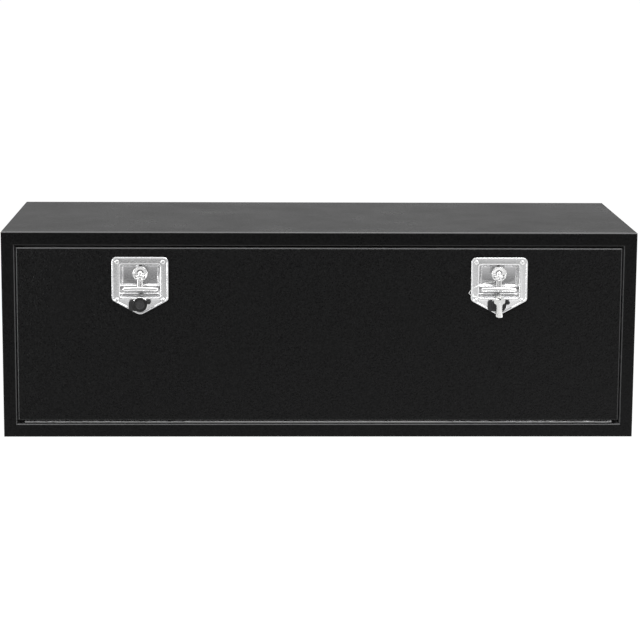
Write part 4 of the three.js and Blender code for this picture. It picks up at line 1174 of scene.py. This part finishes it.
def build_ring(side):
    """The wire loop through the keys' holes and round the handle's bar."""
    points = []
    for across, rearward, down in RING_ROUTE:
        place = (across * RING_REACH, between(*RING_DEPTHS, rearward), -between(*RING_DROPS, down))
        points.append(Vector(place))
    places = centripetal(points, RING_STEPS_EACH)
    curve = bpy.data.curves.new("ring_route", "CURVE")
    curve.dimensions = "3D"
    curve.bevel_depth = RING_WIRE
    curve.bevel_resolution = 4
    spline = curve.splines.new("POLY")
    spline.points.add(len(places) - 1)
    for point, place in zip(spline.points, places):
        point.co = (*place, 1)
    spline.use_cyclic_u = True
    route = new_object("ring_route", curve)
    wire = new_object(f"{side}_ring_wire", shaped_mesh(route))
    bpy.data.objects.remove(route)
    seat(wire, plate_top(side), "key_ring", "key_nickel", f"{side}_key_ring")


def key_outline():
    """A key seen flat, its hole at the origin: a bow with sloping shoulders and a blade cut on both edges."""
    shoulder = KEY_TOP - KEY_BOW_HEIGHT
    pitch = (KEY_LENGTH - KEY_BOW_HEIGHT - KEY_TIP - KEY_TIP_HEIGHT) / len(KEY_CUT_SHARES)
    edge = [(KEY_BOW_TOP, KEY_TOP, KEY_TIP)]
    edge += [(KEY_BOW, KEY_TOP - share * KEY_BOW_HEIGHT, KEY_TIP) for share in KEY_FLANK_SHARES]
    edge.append((KEY_BLADE, shoulder, KEY_SHOULDER_ROUND))
    for row, share in enumerate(KEY_CUT_SHARES):
        z = shoulder - KEY_TIP - row * pitch
        edge.append((KEY_BLADE, z, KEY_CUT_ROUND))
        edge.append((KEY_BLADE - share * KEY_CUT_DEPTH, z - pitch / 2, KEY_CUT_ROUND))
    edge.append((KEY_BLADE, KEY_TOP - KEY_LENGTH + KEY_TIP_HEIGHT, KEY_TIP_ROUND))
    edge.append((KEY_BLADE, KEY_TOP - KEY_LENGTH, KEY_TIP))
    corners = [(-x, z, radius) for x, z, radius in edge] + edge[::-1]
    return rounded_loop(corners, steps=[5] * len(corners), edge_steps=[1] * len(corners))


def build_key(name, joint, body, fan_deg):
    """One flat key with a groove on both faces, turned a little about its hole."""
    low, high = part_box(name)
    thickness = (high.y - low.y) / MM
    key = extruded(f"{name}_cut", key_outline(), 0, thickness)
    half, depth = KEY_GROOVE
    over_shoulder, over_tip = KEY_GROOVE_ENDS
    groove = oblong(-half, half, KEY_TOP - KEY_LENGTH + over_tip, KEY_TOP - KEY_BOW_HEIGHT + over_shoulder)
    near = -KEY_CUT_PAST
    far = thickness + KEY_CUT_PAST
    cutters = [
        hole(KEY_HOLE, near, far, 0, 0),
        extruded("groove", groove, near, depth),
        extruded("groove", groove, thickness - depth, far),
    ]
    join_solids(key, cutters, "DIFFERENCE")
    round_edges(key, KEY_EDGE, KEY_BEVEL_DEG)
    key.data.transform(Matrix.Rotation(radians(fan_deg), 4, "Y"))
    hole_place = joint_place(joint)
    seat(key, Vector((hole_place.x, low.y, hole_place.z)), body, "key_nickel", name, degrees=KEY_SMOOTH_DEG)


def build_latch(side):
    build_plate(side)
    build_hub(side)
    build_handle(side)
    upper, lower = RIVET_DROPS
    rivets = ((-RIVET_X, upper), (RIVET_X, upper), (RIVET_X, lower), (-RIVET_X, lower))
    for number, (x, drop) in enumerate(rivets, start=1):
        build_rivet(side, number, x, drop)
    build_bezel(side)
    build_plug(side)
    build_flap(side)
    build_flap_pin(side)


# Camera, floor, world and lamps
def add_camera():
    yaw, pitch, roll = (radians(angle) for angle in CAMERA_ANGLES)
    right = Vector((cos(yaw), sin(yaw), 0))
    forward = Matrix.Rotation(yaw, 3, "Z") @ Vector((0, cos(pitch), -sin(pitch)))
    down = forward.cross(right)
    across = right * cos(roll) + down * sin(roll)
    lower = down * cos(roll) - right * sin(roll)
    data = bpy.data.cameras.new("camera")
    data.sensor_width = SENSOR_MM
    data.lens = FOCAL_PX / PHOTO_PX * SENSOR_MM
    data.shift_y = (CENTRE_DOWN_PX - PHOTO_PX / 2) / PHOTO_PX
    camera = new_object("camera", data)
    axes = Matrix((across, -lower, -forward)).transposed().to_4x4()
    camera.matrix_world = Matrix.Translation(CAMERA_PLACE) @ axes
    scene.camera = camera


def seen_strengths(tree, seen, mirrored, lit):
    """A strength by who looks: the camera, mirrors and glass, or a surface that it lights."""
    path = add(tree, "ShaderNodeLightPath")
    strength = mixed(tree, path.outputs["Is Transmission Ray"], lit, mirrored)
    strength = mixed(tree, path.outputs["Is Glossy Ray"], strength, mirrored)
    return mixed(tree, path.outputs["Is Camera Ray"], strength, seen)


def x_and_y(tree, place):
    return add(tree, "ShaderNodeSeparateXYZ", place).outputs[:2]


def add_floor():
    """A wide floor, white to the camera, and brighter for mirrors to the right and on the far left."""
    half = FLOOR_HALF
    corners = [(x, y, 0) for x, y in oblong(-half, half, -half, half)]
    floor = solid_from("floor", corners, [(0, 1, 2, 3)])
    finish, tree, shader = node_tree("floor_white")
    colour = (FLOOR_TONE, FLOOR_TONE, FLOOR_TONE, 1)
    fill(tree, shader, Base_Color=colour, Roughness=1, Specular_IOR_Level=0, Emission_Color=(1, 1, 1, 1))
    place = add(tree, "ShaderNodeTexCoord").outputs["Object"]
    x, y = x_and_y(tree, place)
    slant = tree.nodes.new("ShaderNodeVectorMath")
    slant.operation = "DOT_PRODUCT"
    fill(tree, slant, place, (*FLOOR_SLANT, 0))
    ahead = spread(tree, slant.outputs["Value"], *FLOOR_SLANT_BAND)
    brighter = calculated(tree, "MAXIMUM", ahead, spread(tree, x, *FLOOR_LEFT_BAND))
    mirrored = mixed(tree, spread(tree, y, *FLOOR_REAR_BAND), brighter, FLOOR_REAR_GLOW)
    fill(tree, shader, Emission_Strength=seen_strengths(tree, FLOOR_GLOW, mirrored, 0))
    floor.data.materials.append(finish)


def add_world():
    """White to look at, softer as a lamp, and dimmer for mirrors that face the camera's side."""
    world = bpy.data.worlds.new("studio")
    scene.world = world
    world.use_nodes = True
    tree = world.node_tree
    x, y = x_and_y(tree, add(tree, "ShaderNodeTexCoord").outputs["Generated"])
    ahead = spread(tree, x, *WORLD_FRONT_BAND)
    front = mixed(tree, spread(tree, y, *WORLD_ROUND_BAND), ahead, WORLD_ROUND_GLOW)
    mirrored = mixed(tree, spread(tree, y, *WORLD_REAR_BAND), front, WORLD_REAR_GLOW)
    strength = seen_strengths(tree, 1, mirrored, WORLD_FILL)
    fill(tree, tree.nodes["Background"], Color=(1, 1, 1, 1), Strength=strength)


def add_lamp(name, place, aim, width, height, radiance):
    """A soft rectangular lamp that the camera doesn't see."""
    data = bpy.data.lights.new(name, "AREA")
    data.shape = "RECTANGLE"
    data.size = width
    data.size_y = height
    data.energy = radiance * pi * width * height
    lamp = new_object(name, data)
    lamp.location = place
    lamp.rotation_euler = (Vector(aim) - Vector(place)).to_track_quat("-Z", "Y").to_euler()
    lamp.visible_camera = False


add_camera()
add_floor()
add_world()
for name, values in LAMPS.items():
    add_lamp(name, *values)
scene.view_settings.view_transform = "Standard"

dress_frame()
build_hinge()
for side in SIDES:
    build_latch(side)
build_ring("right")
build_key("right_key_a", "key_a_swing", "key_a", KEY_FAN_DEG)
build_key("right_key_b", "key_b_swing", "key_b", -KEY_FAN_DEG)
